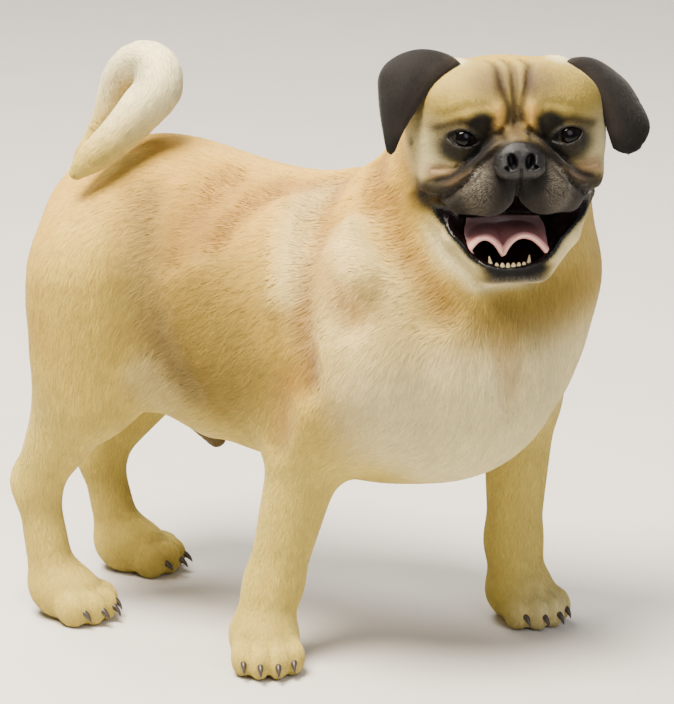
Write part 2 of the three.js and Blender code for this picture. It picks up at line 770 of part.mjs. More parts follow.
dog.updateMatrixWorld(true);
const extent = new THREE.Box3().setFromObject(dog);
const middle = extent.getCenter(new THREE.Vector3());
dog.position.set(-middle.x, -middle.y, -extent.min.z);

export default dog;
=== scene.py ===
"""A pug at life size, standing with its head turned to its right, its mouth open and its tail curled.

Forms are worked out in millimetres on the dog's own plan, where the dog faces -Y and +X is its left side,
and every mesh is written in metres in the part's frame, which is the plan moved by SHIFT."""

import math

import bpy
import numpy as np
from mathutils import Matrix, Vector


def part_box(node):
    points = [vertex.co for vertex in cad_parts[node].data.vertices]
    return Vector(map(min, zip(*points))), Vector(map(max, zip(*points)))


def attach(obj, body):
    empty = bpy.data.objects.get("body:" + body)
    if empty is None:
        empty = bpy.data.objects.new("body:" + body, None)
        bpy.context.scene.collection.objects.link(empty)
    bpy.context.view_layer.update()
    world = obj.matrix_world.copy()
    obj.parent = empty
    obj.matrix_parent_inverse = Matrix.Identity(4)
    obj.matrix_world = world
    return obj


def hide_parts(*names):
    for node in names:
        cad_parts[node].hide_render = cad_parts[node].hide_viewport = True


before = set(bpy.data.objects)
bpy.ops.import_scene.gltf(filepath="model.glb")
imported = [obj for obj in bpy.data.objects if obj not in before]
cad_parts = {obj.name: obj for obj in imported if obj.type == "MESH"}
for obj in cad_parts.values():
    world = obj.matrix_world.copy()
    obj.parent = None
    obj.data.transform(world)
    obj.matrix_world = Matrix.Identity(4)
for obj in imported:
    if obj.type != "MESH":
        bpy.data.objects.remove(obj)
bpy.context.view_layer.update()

MM = 0.001
rng = np.random.default_rng(11)

# The head's small parts
EYE_RADIUS = 11.5
EYE_PLACE = (31, 1, 1.5)
GAZE = (0.08, -0.98, 0.17)
LID_THICKNESS = 2.7
LIDS_CUT = 0.8              # how far under the globe's surface the lids are cut away
OPENING_HALF_LENGTH = 9
OPENING_HALF_HEIGHT = 4.7
OPENING_TILT = (0.978, 0.208)       # cosine and sine of 12 degrees
MUZZLE_SWING = 3
MOUTH_SHIFT = 3
EAR_THICKNESS = 3.4
SOLE_HEIGHT = 0.1
TUFT_FLOOR = 0.15

# Ellipsoids of the trunk as (centre, radii): four set on the chest, one on the plan and two on the hips
RIBS = ((0, 8, 192), (86, 100, 92))
WITHERS = ((0, 8, 240), (54, 74, 42))
BREAST = ((0, -62, 184), (68, 46, 58))
SHOULDER = ((68, -24, 205), (34, 48, 68))
BELLY = ((0, 4, 204), (82, 92, 87))
LOINS = ((0, -6, 236), (66, 70, 74))
CROUP = ((0, 36, 254), (44, 32, 32))
NAPE_RADII = (60, 44, 56)
THROAT_RADII = (80, 50, 54)

# The sheath under the belly as (start, end, radius, end radius): its form, its dark tip, its short hair
SHEATH = ((0, 60, 129), (0, 36, 114), 8, 8.5)
SHEATH_TIP = ((0, 46, 115), (0, 34, 110), 8, 8.5)
SHEATH_SHORT_HAIR = ((0, 56, 122), (0, 36, 114), 8, 8.5)

# Limbs: where each paw stands, the way its toes point, and the joints above it
FORE_LEGS = (
    {"side": -1, "paw": (-85, -38, 0), "yaw": -62, "elbow": (-58, -56, 142), "wrist": (-74, -38, 50)},
    {"side": 1, "paw": (62, -150, 0), "yaw": -35, "elbow": (74, -142, 145), "wrist": (66, -142, 50)},
)
HIND_LEGS = (
    {"side": -1, "paw": (-53, 118, 0), "yaw": -12, "knee": (-58, 92, 150), "hock": 84},
    {"side": 1, "paw": (46, 121, 0), "yaw": 10, "knee": (52, 92, 144), "hock": 77},
)
SHOULDER_JOINT = (62, -46, 195)
FORE_RADII = (36, 27, 17, 18)
HIP_JOINT = (42, 14, 228)
THIGH = ((46, 20, 204), (34, 46, 66))
THIGH_RADII = (44, 24, 13)
BUTTOCK = (46, 34, 165)
HEEL_RADII = (8, 8, 12)
PAD = ((0, 0, 16), (21, 24, 19))
TOES = ((5.5, -24), (15.5, -17))
TOE_HEIGHT = 11
TOE_RADII = (8, 12, 12)

# The tail's middle line, from the croup up, over and down along the right of the rump
TAIL_LINE = (
    (1, 116, 272), (4, 121, 286), (7, 116, 301), (7, 110, 321), (4, 104, 340), (-1, 93, 352), (-8, 78, 357),
    (-15, 67, 353), (-21, 64, 343), (-29, 70, 333), (-38, 78, 321), (-47, 87, 310), (-55, 95, 302),
    (-61, 101, 295),
)
TAIL_RADII = (17, 16.5, 14.5, 13.5, 13.5, 14, 15, 16.5, 17, 16.5, 15, 13.5, 11.5, 7.5)

# Ellipsoids of the head as (centre, radii), in the head's frame with both sides laid on one
BRAINCASE = ((0, 38, 8), (40, 44, 37))
TEMPLE = ((24, 40, 6), (36, 46, 37))
FOREHEAD = ((17, 10, 22), (36, 20, 22))
CHEEK = ((38, 24, -12), (20, 28, 31))
EAR_ROOT = ((31, 31, 25), (16, 18, 19))
UPPER_THROAT = ((0, 30, -32), (30, 26, 20))
BROW = ((24, 4, 17), (18, 11, 11))
JOWL = ((41, 8, -24), (13, 14, 11))
BRIDGE = ((0, -10, -10), (22, 22, 16))
FLEW = ((17, -12, -26), (18, 21, 18))
FLEW_BACK = ((31, 0, -32), (12, 18, 14))
EYE_SOCKET = ((32, -10, 1), (13, 9, 9))
CHIN = ((0, -3, -77), (18, 13, 10))
JAW_FLOOR = ((0, 24, -60), (30, 30, 17))
JAW_LINE = ((43, 28, -34), (32, 6, -58), (15, -3, -76))
JAW_RADII = (12, 9, 10)

# The mouth's hollow, and the flews that hang into it
HOLLOW = ((0, -4, -49), (36, 22, 15.5))
HOLLOW_FRONT = ((0, -11, -62), (25, 21, 12))
MOUTH_CORNER = ((18, -8, -49), (50, 8, -40), 8, 5.5)
HANGING_FLEW = ((18, -13, -30), (16.5, 20, 17.5))
HANGING_FLEW_BACK = ((31, -1, -34), (12, 17, 14))
ROOM_FOR_TONGUE = ((0, 0, -54), (34, 20, 22))

# Lines on one side of the head: the fold over the nose, and the front, middle and back line of each ear
NOSE_WRINKLE = ((0, -25, 3), (13, -22, 1), (26, -14, -9), (37, -2, -20), (46, 12, -27))
EARS = {
    -1: (
        ((-31, 28, 33), (-30, 18, 44), (-43, 10, 37), (-56, 7, 22), (-66, 6, 7), (-72, 7, -6)),
        ((-41, 41, 32), (-52, 30, 50), (-63, 17, 44), (-69, 9, 28), (-72, 7, 11), (-74, 7, -7)),
        ((-50, 53, 20), (-71, 38, 39), (-78, 26, 36), (-79, 19, 22), (-78, 13, 8), (-76, 8, -6)),
    ),
    1: (
        ((31, 30, 33), (36, 20, 43), (44, 16, 34), (53, 13, 18), (58, 12, 3), (62, 12, -9)),
        ((41, 43, 31), (53, 34, 41), (65, 30, 32), (74, 26, 18), (79, 21, 3), (72, 15, -13)),
        ((49, 54, 19), (61, 50, 30), (74, 44, 26), (83, 38, 12), (87, 31, 0), (81, 20, -10)),
    ),
}


# Places and curves

def toward(direction):
    """Axes whose Z runs along the direction."""
    z = np.array(direction, float) / np.linalg.norm(direction)
    x = np.cross((0, 0, 1), z)
    x /= np.linalg.norm(x)
    return np.stack([x, np.cross(z, x), z], 1)


class Place:
    """A spot on the body with a heading about Z, then a nod about X, in degrees."""

    def __init__(self, origin, heading, nod=0):
        z, x = np.radians([heading, nod])
        about_z = np.array([[np.cos(z), -np.sin(z), 0], [np.sin(z), np.cos(z), 0], [0, 0, 1]])
        about_x = np.array([[1, 0, 0], [0, np.cos(x), -np.sin(x)], [0, np.sin(x), np.cos(x)]])
        self.axes = about_z @ about_x
        self.origin = np.array(origin, float)

    def at(self, *point):
        """A point of this place, on the plan: origin + axes times point."""
        return self.origin + self.axes @ np.array(point, float)

    def into(self, p):
        """Points of the plan, in this place's own coordinates."""
        return (p - self.origin) @ self.axes

    def out(self, q):
        """Points of this place, on the plan: the reverse of into."""
        return self.origin + q @ self.axes.T


CHEST = Place((1, -89, 0), -26)
HIPS = Place((-2, 80, 0), 6)
HEAD = Place((-33, -179, 336), -58, -4)
NAPE = Place(HEAD.at(0, 58, -34), -44)
THROAT = Place(HEAD.at(-10, 60, -92), -44)
SHIFT = np.mean(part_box("eye_left"), axis=0) / MM - HEAD.at(*EYE_PLACE)


def on_side(place, side):
    """A place given for the dog's left, on the side asked for: 1 is left and -1 is right."""
    return np.array(place, float) * (side, 1, 1)


def curve(points, count):
    """Centripetal Catmull-Rom: a cubic between each two points, with slopes from the square roots of gaps."""
    p = np.array(points, float)
    p = np.vstack([2 * p[0] - p[1], p, 2 * p[-1] - p[-2]])
    spans = len(p) - 3
    place = np.linspace(0, spans, count)
    span = np.minimum(place.astype(int), spans - 1)
    t = (place - span)[:, None]
    a, b, c, d = (p[span + k] for k in range(4))
    gap_a, gap_b, gap_c = (np.sqrt(np.linalg.norm(v, axis=1))[:, None] for v in (b - a, c - b, d - c))
    out = ((b - a) / gap_a - (c - a) / (gap_a + gap_b) + (c - b) / gap_b) * gap_b
    into = ((c - b) / gap_b - (d - b) / (gap_b + gap_c) + (d - c) / gap_c) * gap_b
    return b + out * t + (3 * (c - b) - 2 * out - into) * t**2 + (2 * (b - c) + out + into) * t**3


# Forms: each gives the distance of points from a surface, below zero on the inside

def egg(p, centre, radii):
    """Ellipsoid: k(k - 1) / |grad k|, where k is the distance from the centre in units of the radii."""
    q = (p - np.array(centre, float)) / np.array(radii, float)
    reach = np.linalg.norm(q, axis=-1)
    gradient = np.linalg.norm(q / np.array(radii, float), axis=-1)
    return reach * (reach - 1) / (gradient + 1e-9)


def rod(p, start, end, radius, end_radius):
    """Tapered rod: distance from the nearest point of the line, less the radius there."""
    start = np.array(start, float)
    along = np.array(end, float) - start
    share = np.clip((p - start) @ along / (along @ along), 0, 1)
    away = np.linalg.norm(p - start - share[..., None] * along, axis=-1)
    return away - radius - share * (end_radius - radius)


def join(softness, *forms):
    """Smooth union: the least distance, less a quarter of the softness where two are equal."""
    value = forms[0]
    for other in forms[1:]:
        overlap = np.maximum(softness - np.abs(value - other), 0) / softness
        value = np.minimum(value, other) - overlap**2 * softness / 4
    return value


def carve(softness, kept, cutter):
    """Smooth difference, as join is a smooth union."""
    overlap = np.maximum(softness - np.abs(kept + cutter), 0) / softness
    return np.maximum(kept, -cutter) + overlap**2 * softness / 4


def chain(p, softness, points, radii):
    """Tapered rods from point to point, joined."""
    spans = range(len(points) - 1)
    return join(softness, *[rod(p, points[i], points[i + 1], radii[i], radii[i + 1]) for i in spans])


def line_distance(p, points):
    """Distance from the nearest of the straight lines from point to point."""
    return np.min([rod(p, points[i], points[i + 1], 0, 0) for i in range(len(points) - 1)], axis=0)


def smooth(low, high, value):
    """0 at low and 1 at high, with an S-curve between; low may be the larger."""
    t = np.clip((value - low) / (high - low), 0, 1)
    return t * t * (3 - 2 * t)


FAR_AWAY = 60


def near(p, centre, reach, form):
    """The form within reach of the centre, and only a safely large distance beyond it."""
    away = np.linalg.norm(p - centre, axis=-1)
    value = np.maximum(away - reach, 0) + FAR_AWAY
    close = away < reach
    value[close] = form(p[close])
    return value


def folded(q):
    """Head coordinates with the muzzle's swing taken out and both sides laid on one."""
    swing = MUZZLE_SWING * np.clip((10 - q[..., 1]) / 40, 0, 1)
    return np.stack([np.abs(q[..., 0] + swing), q[..., 1], q[..., 2]], -1)


# Body

CREST = (HEAD.at(0, 64, 2), CHEST.at(0, 14, 238), 42, 46)
HEAD_MIDDLE = HEAD.at(0, 20, -12)
HEAD_REACH = 130
TAIL_MIDDLE = np.array((-20, 95, 320))
TAIL_REACH = 105
TAIL_STEPS = 24
tail_points = curve(TAIL_LINE, TAIL_STEPS)
tail_radii = np.interp(np.linspace(0, 1, TAIL_STEPS), np.linspace(0, 1, len(TAIL_RADII)), TAIL_RADII)


def trunk(p):
    """Chest and pelvis turned against each other, with the barrel of the belly between them."""
    q = CHEST.into(p)
    q[..., 0] = np.abs(q[..., 0])
    chest = join(30, egg(q, *RIBS), egg(q, *WITHERS))
    chest = join(26, join(40, chest, egg(q, *BREAST)), egg(q, *SHOULDER))
    hips = HIPS.into(p)
    return join(16, join(50, chest, egg(p, *BELLY), egg(hips, *LOINS)), egg(hips, *CROUP))


def neck(p):
    """Nape and throat under the turned head, and a crest down to the withers."""
    nape = egg(NAPE.into(p), (0, 0, 0), NAPE_RADII)
    throat = egg(THROAT.into(p), (0, 0, 0), THROAT_RADII)
    return join(30, join(34, nape, throat), rod(p, *CREST))


def paw(p, spot, yaw):
    """A pad with two toes on each side of its middle."""
    q = Place(spot, yaw).into(p)
    q[..., 0] = np.abs(q[..., 0])
    toes = [egg(q, (across, forward, TOE_HEIGHT), TOE_RADII) for across, forward in TOES]
    return join(5, egg(q, *PAD), *toes)


def fore_leg(p, leg):
    """Tapered rods from the shoulder over the elbow and the wrist to the paw."""
    x, y, _ = leg["paw"]
    shoulder = CHEST.at(*on_side(SHOULDER_JOINT, leg["side"]))
    limb = chain(p, 12, (shoulder, leg["elbow"], leg["wrist"], (x, y + 4, 22)), FORE_RADII)
    return join(12, limb, paw(p, leg["paw"], leg["yaw"]))


def hind_leg(p, leg):
    """Thigh, a front line over the knee, a back line to the hock, then the shank, the heel and the paw."""
    side = leg["side"]
    x, y, _ = leg["paw"]
    hock = np.array((x - 2 * side, y + 21, leg["hock"]))
    centre, radii = THIGH
    thigh = egg(HIPS.into(p), on_side(centre, side), radii)
    front = chain(p, 16, (HIPS.at(*on_side(HIP_JOINT, side)), leg["knee"], hock), THIGH_RADII)
    back = rod(p, HIPS.at(*on_side(BUTTOCK, side)), hock + (0, 2, 10), 26, 9)
    shank = rod(p, hock, (x, y + 10, 26), 14, 15)
    limb = join(14, join(20, join(26, thigh, front), back), shank)
    limb = join(8, limb, egg(p, hock + (0, 6, 6), HEEL_RADII))
    return join(12, limb, paw(p, leg["paw"], leg["yaw"]))


def tail(p):
    """Tapered rods along the tail's middle line."""
    return chain(p, 1, tail_points, tail_radii)


# Head, in its own frame with both sides laid on one

eye_axes = toward(GAZE)


def eye_opening(q):
    """Almond between the lids, seen along the gaze: |u / length|^1.7 + |v / height|^1.7, to the power 0.588,
    less 1, its inner corner lower."""
    u, v, _ = np.moveaxis((q - np.array(EYE_PLACE)) @ eye_axes, -1, 0)
    cosine, sine = OPENING_TILT
    u, v = u * cosine + v * sine, v * cosine - u * sine
    reach = np.abs(u / OPENING_HALF_LENGTH) ** 1.7 + np.abs(v / OPENING_HALF_HEIGHT) ** 1.7
    return (reach**0.588 - 1) * OPENING_HALF_HEIGHT


def from_eye(q):
    """Distance from the middle of the globe."""
    return np.linalg.norm(q - np.array(EYE_PLACE), axis=-1)


def eye_cut(q):
    """What is cut from the lids: the almond, down to just under the front of the globe."""
    in_front = (q - np.array(EYE_PLACE)) @ np.array(GAZE) > 0
    return np.where(in_front, np.maximum(eye_opening(q), EYE_RADIUS - LIDS_CUT - from_eye(q)), 9.0)


def muzzle(q):
    """The bridge of the muzzle, with a flew and its back part on each side."""
    return join(8, egg(q, *BRIDGE), egg(q, *FLEW), egg(q, *FLEW_BACK))


def skull(q):
    """The upper head: braincase, forehead and cheeks, then the muzzle, with the nose wrinkle 5 mm high."""
    crown = join(10, egg(q, *BRAINCASE), egg(q, *TEMPLE))
    upper = join(14, crown, egg(q, *FOREHEAD), egg(q, *CHEEK))
    upper = join(10, upper, *[egg(q, *form) for form in (EAR_ROOT, UPPER_THROAT, BROW, JOWL, BRIDGE)])
    upper = join(8, upper, egg(q, *FLEW), egg(q, *FLEW_BACK))
    rope = 5 * np.exp(-((line_distance(q, NOSE_WRINKLE) / 5.5) ** 2))
    return carve(6, upper - rope, egg(q, *EYE_SOCKET))


def jaw(q):
    """Tapered rods along each side of the jaw, joined to the chin and to the floor between them."""
    side = chain(q, 4, JAW_LINE, JAW_RADII)
    return join(12, join(8, side, egg(q, *CHIN)), egg(q, *JAW_FLOOR))


def mouth(h):
    """The hollow of the open mouth, from head coordinates before folding, with the flews hanging into it."""
    q = folded(h)
    flews = join(8, egg(q, *HANGING_FLEW), egg(q, *HANGING_FLEW_BACK))
    flews = carve(3, flews, egg(q, *ROOM_FOR_TONGUE))
    q = folded(h + (MOUTH_SHIFT, 0, 0))
    hollow = join(10, egg(q, *HOLLOW), egg(q, *HOLLOW_FRONT))
    return join(5, carve(3, hollow, flews), rod(q, *MOUTH_CORNER))


# Creases: lines that sink into the skin or stand out of it, as (line, width, height)
HEAD_CREASES = {
    "forehead_middle": (((0.5, 0, 44), (0.5, 0, 34), (0.5, 0, 26), (0, 0, 18), (0, 0, 10)), 2.0, -2.2),
    "forehead_side": (
        ((10.5, 0, 44), (9, 0, 40), (7.5, 0, 32), (5, 0, 25), (3.5, 0, 19), (4.5, 0, 12)), 2.2, -1.9),
    "brow_nick": (((15, 0, 8), (14.5, 0, 14)), 2.4, -1.0),
    "above_wrinkle": (
        ((8, 0, 7.4), (13, 0, 4.4), (19, 0, -0.7), (26, 0, -8), (34, 0, -15.5), (40, 0, -20), (48, 0, -23)),
        2.4, -2.2),
    "below_wrinkle": (
        ((8, 0, 3.8), (14, 0, -3), (19.3, 0, -8), (27, 0, -17), (34, 0, -24.5), (42, 0, -30)), 2.2, -3.0),
    "wrinkle": (((0, 0, 6), (13, 0, 1), (20, 0, -4.6), (26, 0, -12), (33, 0, -19.5), (41, 0, -25)), 3.2, 1.8),
    "under_eye": (((27, 0, -12), (37, 0, -15), (46, 0, -16)), 2.0, -1.4),
    "jowl": (((40, 0, -31), (47, 0, -33), (54, 0, -34)), 2.0, -2.0),
    "lip_middle": (((0, 0, -19), (0, 0, -28), (0, 0, -42)), 1.4, -2.4),
    "upper_lid": (((18, 0, 22), (28, 0, 21), (42, 0, 16)), 3.0, -0.9),
    "brow_fold": (((10, 0, 8), (10, 0, 20)), 4.0, 1.2),
}
THIGH_HOLLOW = (
    (56, 57, 284), (70, 52, 265), (80, 50, 244), (83, 48, 221), (81, 44, 202), (76, 38, 181), (68, 28, 160))
FLANK_FOLD = ((70, 56, 172), (66, 50, 159), (54, 45, 148), (44, 37, 137), (40, 28, 131))


def opposite(line):
    """The same line on the other side: X turned to -X."""
    return [on_side(place, -1) for place in line]


BODY_CREASES = {
    "behind_shoulder": (
        ((-7, -48, 297), (-43, -49, 282), (-64, -55, 272), (-82, -59, 261), (-91, -62, 248), (-97, -64, 234),
         (-103, -67, 214), (-107, -71, 199)), 9, -7.5),
    "neck_side": (
        ((-43, -97, 293), (-55, -107, 281), (-62, -118, 272), (-65, -128, 263), (-67, -137, 253),
         (-68, -148, 238)), 8, -7.0),
    "nape_nick": (((-12, -79, 310), (-28, -83, 301), (-41, -88, 292)), 6, -3.5),
    "loins": (((-21, 10, 297), (-35, 15, 292), (-51, 21, 282), (-64, 27, 268), (-72, 31, 255)), 8, -4.5),
    "back": (
        ((-12, -36, 294), (-17, -24, 293), (-28, -12, 290), (-42, -5, 284), (-53, 3, 276), (-64, 7, 265)),
        8, -4.8),
    "shoulder_edge": (
        ((-50, -67, 281), (-79, -78, 270), (-93, -86, 257), (-101, -95, 245), (-102, -105, 237)), 8, -3.4),
    "throat": (((-44, -176, 246), (-49, -182, 217), (-50, -187, 186)), 8, -2.0),
    "left_neck": (((6, -118, 300), (34, -112, 284), (62, -118, 262), (80, -130, 238)), 8, -4.5),
    "left_shoulder": (((20, -72, 300), (48, -70, 286), (76, -80, 262), (92, -92, 234)), 9, -5.0),
    "above_elbow": (((-107, -71, 199), (-98, -52, 180), (-92, -44, 150)), 9, -4.0),
    "right_thigh": (opposite(THIGH_HOLLOW), 13, -6.0),
    "left_thigh": (THIGH_HOLLOW, 13, -6.0),
    "shoulder_roll": (
        ((-12, -43, 295), (-38, -40, 284), (-58, -43, 272), (-78, -49, 259), (-90, -52, 242)), 9, 3.0),
    "shoulder_bulge": (((-60, -80, 280), (-73, -86, 273), (-86, -98, 262)), 13, 3.6),
    "right_flank": (opposite(FLANK_FOLD), 9, 3.6),
    "left_flank": (FLANK_FOLD, 9, 3.6),
}
COAT_OVER_CREASES = 5
FACE_BACK = 28
FACE_COAT = 0.9


def face_distance(q, line):
    """Distance from a line as seen from straight in front, for lines on the face."""
    behind = np.maximum(q[..., 1] - FACE_BACK, 0)
    return line_distance(q * (1, 0, 1), np.array(line) * (1, 0, 1)) + behind


def sunk_distance(p, line):
    """Distance from a line that lies on the coat, less what lies between the coat and the skin."""
    return np.maximum(line_distance(p, line) - COAT_OVER_CREASES, 0)


def creases(p, lines, distance):
    """Sum over the lines of height times exp(-(distance / width) squared)."""
    total = np.zeros(p.shape[:-1])
    for line, width, height in lines.values():
        total += height * np.exp(-((distance(p, line) / width) ** 2))
    return total


def body_depth(p):
    """How deep the coat is on the body: 1 mm on the paws, rising to 2.8 mm on the trunk."""
    return 1.0 + 1.8 * smooth(30, 130, p[..., 2])


def survey(p, fine=False):
    """Distances of points from each part of the body, and from the skin as a whole.

    The skin is the flesh with the coat's depth taken off; fine adds the creases."""
    fore = [fore_leg(p, leg) for leg in FORE_LEGS]
    hind = [hind_leg(p, leg) for leg in HIND_LEGS]
    h = HEAD.into(p)
    q = folded(h)
    found = {
        "trunk": trunk(p), "neck": neck(p), "fore": np.minimum(*fore), "hind": np.minimum(*hind),
        "tail": near(p, TAIL_MIDDLE, TAIL_REACH, tail), "h": h, "q": q,
    }
    close = np.linalg.norm(p - HEAD_MIDDLE, axis=-1) < HEAD_REACH
    for name in ("head", "mouth", "muzzle"):
        found[name] = np.full(p.shape[:-1], float(FAR_AWAY))
    head = join(6, skull(q[close]), jaw(q[close]))
    if fine:
        head -= creases(q[close], HEAD_CREASES, face_distance)
    found["head"][close] = join(4, head, from_eye(q[close]) - EYE_RADIUS - LID_THICKNESS)
    found["mouth"][close] = mouth(h[close])
    found["muzzle"][close] = muzzle(q[close])
    body = join(12, join(22, found["trunk"], *fore, *hind), rod(p, *SHEATH))
    body = join(10, join(30, body, found["neck"]), found["tail"])
    if fine:
        body -= creases(p, BODY_CREASES, sunk_distance)
    flesh = join(8, body + body_depth(p), found["head"] + FACE_COAT)
    flesh = carve(0.6, carve(3, flesh, found["mouth"]), eye_cut(q))
    found["skin"] = np.maximum(flesh, SOLE_HEIGHT - p[..., 2])
    return found


def skin_form(p):
    """Distance from the skin with its creases."""
    return survey(p, fine=True)["skin"]


# Closed surfaces from a form

def surface_nets(values, axes):
    """Surface nets: one corner in each cell that the surface crosses, at the mean of its edge crossings,
    and one quad around each crossed grid edge, split into two triangles along its shorter diagonal."""
    inside = values < 0
    cells = tuple(n - 1 for n in values.shape)
    total = np.zeros(cells + (3,))
    crossings = np.zeros(cells)
    quads = []
    for axis in range(3):
        low = [slice(None)] * 3
        high = [slice(None)] * 3
        low[axis] = slice(0, -1)
        high[axis] = slice(1, None)
        a, b = values[tuple(low)], values[tuple(high)]
        crossed = inside[tuple(low)] != inside[tuple(high)]
        index = np.argwhere(crossed)
        a, b = a[crossed], b[crossed]
        position = np.stack([axes[k][index[:, k]] for k in range(3)], 1)
        step = axes[axis][index[:, axis] + 1] - axes[axis][index[:, axis]]
        position[:, axis] += a / (a - b) * step
        second, third = (axis + 1) % 3, (axis + 2) % 3
        around = []
        for shift_second, shift_third in ((0, 0), (1, 0), (1, 1), (0, 1)):
            cell = index.copy()
            cell[:, second] -= shift_second
            cell[:, third] -= shift_third
            np.add.at(total, tuple(cell.T), position)
            np.add.at(crossings, tuple(cell.T), 1)
            around.append(np.ravel_multi_index(cell.T, cells))
        quad = np.stack(around, 1)
        quad[a > 0] = quad[a > 0][:, ::-1]
        quads.append(quad)
    quads = np.vstack(quads)
    used = np.unique(quads)
    number = np.full(np.prod(cells), -1)
    number[used] = np.arange(len(used))
    points = total.reshape(-1, 3)[used] / crossings.reshape(-1)[used][:, None]
    a, b, c, d = number[quads].T
    short = np.linalg.norm(points[a] - points[c], axis=1) < np.linalg.norm(points[b] - points[d], axis=1)
    first = np.where(short[:, None], np.stack([a, b, c], 1), np.stack([a, b, d], 1))
    other = np.where(short[:, None], np.stack([a, c, d], 1), np.stack([b, c, d], 1))
    return points, np.vstack([first, other])


def refined(points, triangles, wanted):
    """Splits every edge longer than wanted at its middle, and parts the triangles to meet the new corners."""
    edges = np.sort(np.stack([triangles, np.roll(triangles, -1, 1)], -1), -1).reshape(-1, 2)
    key, which = np.unique(edges[:, 0] * len(points) + edges[:, 1], return_inverse=True)
    start, end = key // len(points), key % len(points)
    middle = (points[start] + points[end]) / 2
    long = np.linalg.norm(points[start] - points[end], axis=1) > wanted(middle)
    number = np.full(len(key), -1)
    number[long] = len(points) + np.arange(long.sum())
    points = np.vstack([points, middle[long]])
    cut = number[which].reshape(-1, 3)
    pieces = [triangles[(cut < 0).all(1)]]
    for turn in range(3):
        t = np.roll(triangles, -turn, 1)
        m = np.roll(cut, -turn, 1)
        one = (m[:, 0] >= 0) & (m[:, 1] < 0) & (m[:, 2] < 0)
        a, b, c = t[one].T
        ab = m[one, 0]
        pieces += [np.stack([a, ab, c], 1), np.stack([ab, b, c], 1)]
        two = (m[:, 0] >= 0) & (m[:, 1] >= 0) & (m[:, 2] < 0)
        a, b, c = t[two].T
        ab, bc = m[two, 0], m[two, 1]
        pieces += [np.stack([ab, b, bc], 1), np.stack([a, ab, bc], 1), np.stack([a, bc, c], 1)]
    full = (cut >= 0).all(1)
    a, b, c = triangles[full].T
    ab, bc, ca = cut[full].T
    pieces += [np.stack(v, 1) for v in ((a, ab, ca), (ab, b, bc), (ca, bc, c), (ab, bc, ca))]
    return points, np.vstack(pieces)


def slope(form, p, value, step=0.35):
    """Forward differences of the form along X, Y and Z."""
    return np.stack([form(p + np.eye(3)[k] * step) - value for k in range(3)], -1) / step


def settled(form, points, passes):
    """Moves points onto the surface along its slope, by Newton's method, at most 1.5 mm a pass."""
    for _ in range(passes):
        value = form(points)
        gradient = slope(form, points, value)
        step = -value / np.maximum((gradient**2).sum(-1), 0.15)
        move = gradient * step[:, None]
        length = np.linalg.norm(move, axis=1)
        points = points + move * (np.minimum(length, 1.5) / np.maximum(length, 1e-9))[:, None]
    return points


def corner_normals(points, triangles):
    """Sum of the area vectors of the triangles around each corner, scaled to length 1."""
    a, b, c = (points[triangles[:, k]] for k in range(3))
    area = np.cross(b - a, c - a)
    normals = np.zeros_like(points)
    for k in range(3):
        for axis in range(3):
            normals[:, axis] += np.bincount(triangles[:, k], area[:, axis], len(points))
    return normals / np.maximum(np.linalg.norm(normals, axis=1), 1e-12)[:, None]


def relaxed(points, triangles):
    """Each corner moves half way to the mean of its neighbours."""
    edges = np.vstack([triangles[:, [0, 1]], triangles[:, [1, 2]], triangles[:, [2, 0]]])
    count = np.bincount(edges[:, 0], minlength=len(points))
    mean = np.stack([np.bincount(edges[:, 0], points[edges[:, 1], k], len(points)) for k in range(3)], 1)
    return points * 0.5 + mean / np.maximum(count, 1)[:, None] * 0.5


# The skin's mesh: the grid's reach along X, Y and Z, its finer part over the head, and the cells' sizes
GRID_REACH = ((-128, 112), (-232, 162), (-6, 392))
GRID_FINE_REACH = ((-80, 52), (-228, -110), (243, 386))
GRID_CELL = 5.4
GRID_FINE_CELL = 2.9


def graded(low, high, fine_low, fine_high, coarse, fine):
    """Grid lines: fine between the two inner values and coarse outside them."""
    before = np.arange(fine_low, low - coarse, -coarse)[::-1]
    middle = np.arange(fine_low, fine_high, fine)[1:]
    after = np.arange(middle[-1] + fine, high + coarse, coarse)
    return np.concatenate([before, middle, after])


def edge_wanted(p):
    """Longest edge of the skin's mesh: shortest at the eyes, then on the face, the skull and the paws."""
    q = folded(HEAD.into(p))
    face = np.linalg.norm((q - (0, -8, -18)) / (56, 36, 62), axis=-1)
    skull_near = np.linalg.norm((q - (0, 30, -10)) / (75, 75, 90), axis=-1)
    at_eye = from_eye(q) < 17
    return np.select([at_eye, face < 1, p[:, 2] < 50, skull_near < 1], [0.95, 1.6, 3.2, 2.9], 4.8)


def make_skin():
    """The whole skin but for the ears: surface nets on a graded grid, split where finer, set on the form."""
    reaches = zip(GRID_REACH, GRID_FINE_REACH)
    axes = [graded(*whole, *fine, GRID_CELL, GRID_FINE_CELL) for whole, fine in reaches]
    grid = np.stack(np.meshgrid(*axes, indexing="ij"), -1)
    values = np.concatenate([survey(layer)["skin"] for layer in grid.reshape(len(axes[0]), -1, 3)])
    points, triangles = surface_nets(values.reshape(grid.shape[:3]), axes)
    for _ in range(2):
        points = settled(skin_form, points, 1)
        points, triangles = refined(points, triangles, edge_wanted)
    points = settled(skin_form, relaxed(points, triangles), 3)
    return points, triangles


# Meshes

def hex_linear(code):
    """Linear red, green and blue of an sRGB hex colour."""
    value = np.array([int(code[i:i + 2], 16) for i in (1, 3, 5)]) / 255
    return np.where(value <= 0.04045, value / 12.92, ((value + 0.055) / 1.055) ** 2.4)


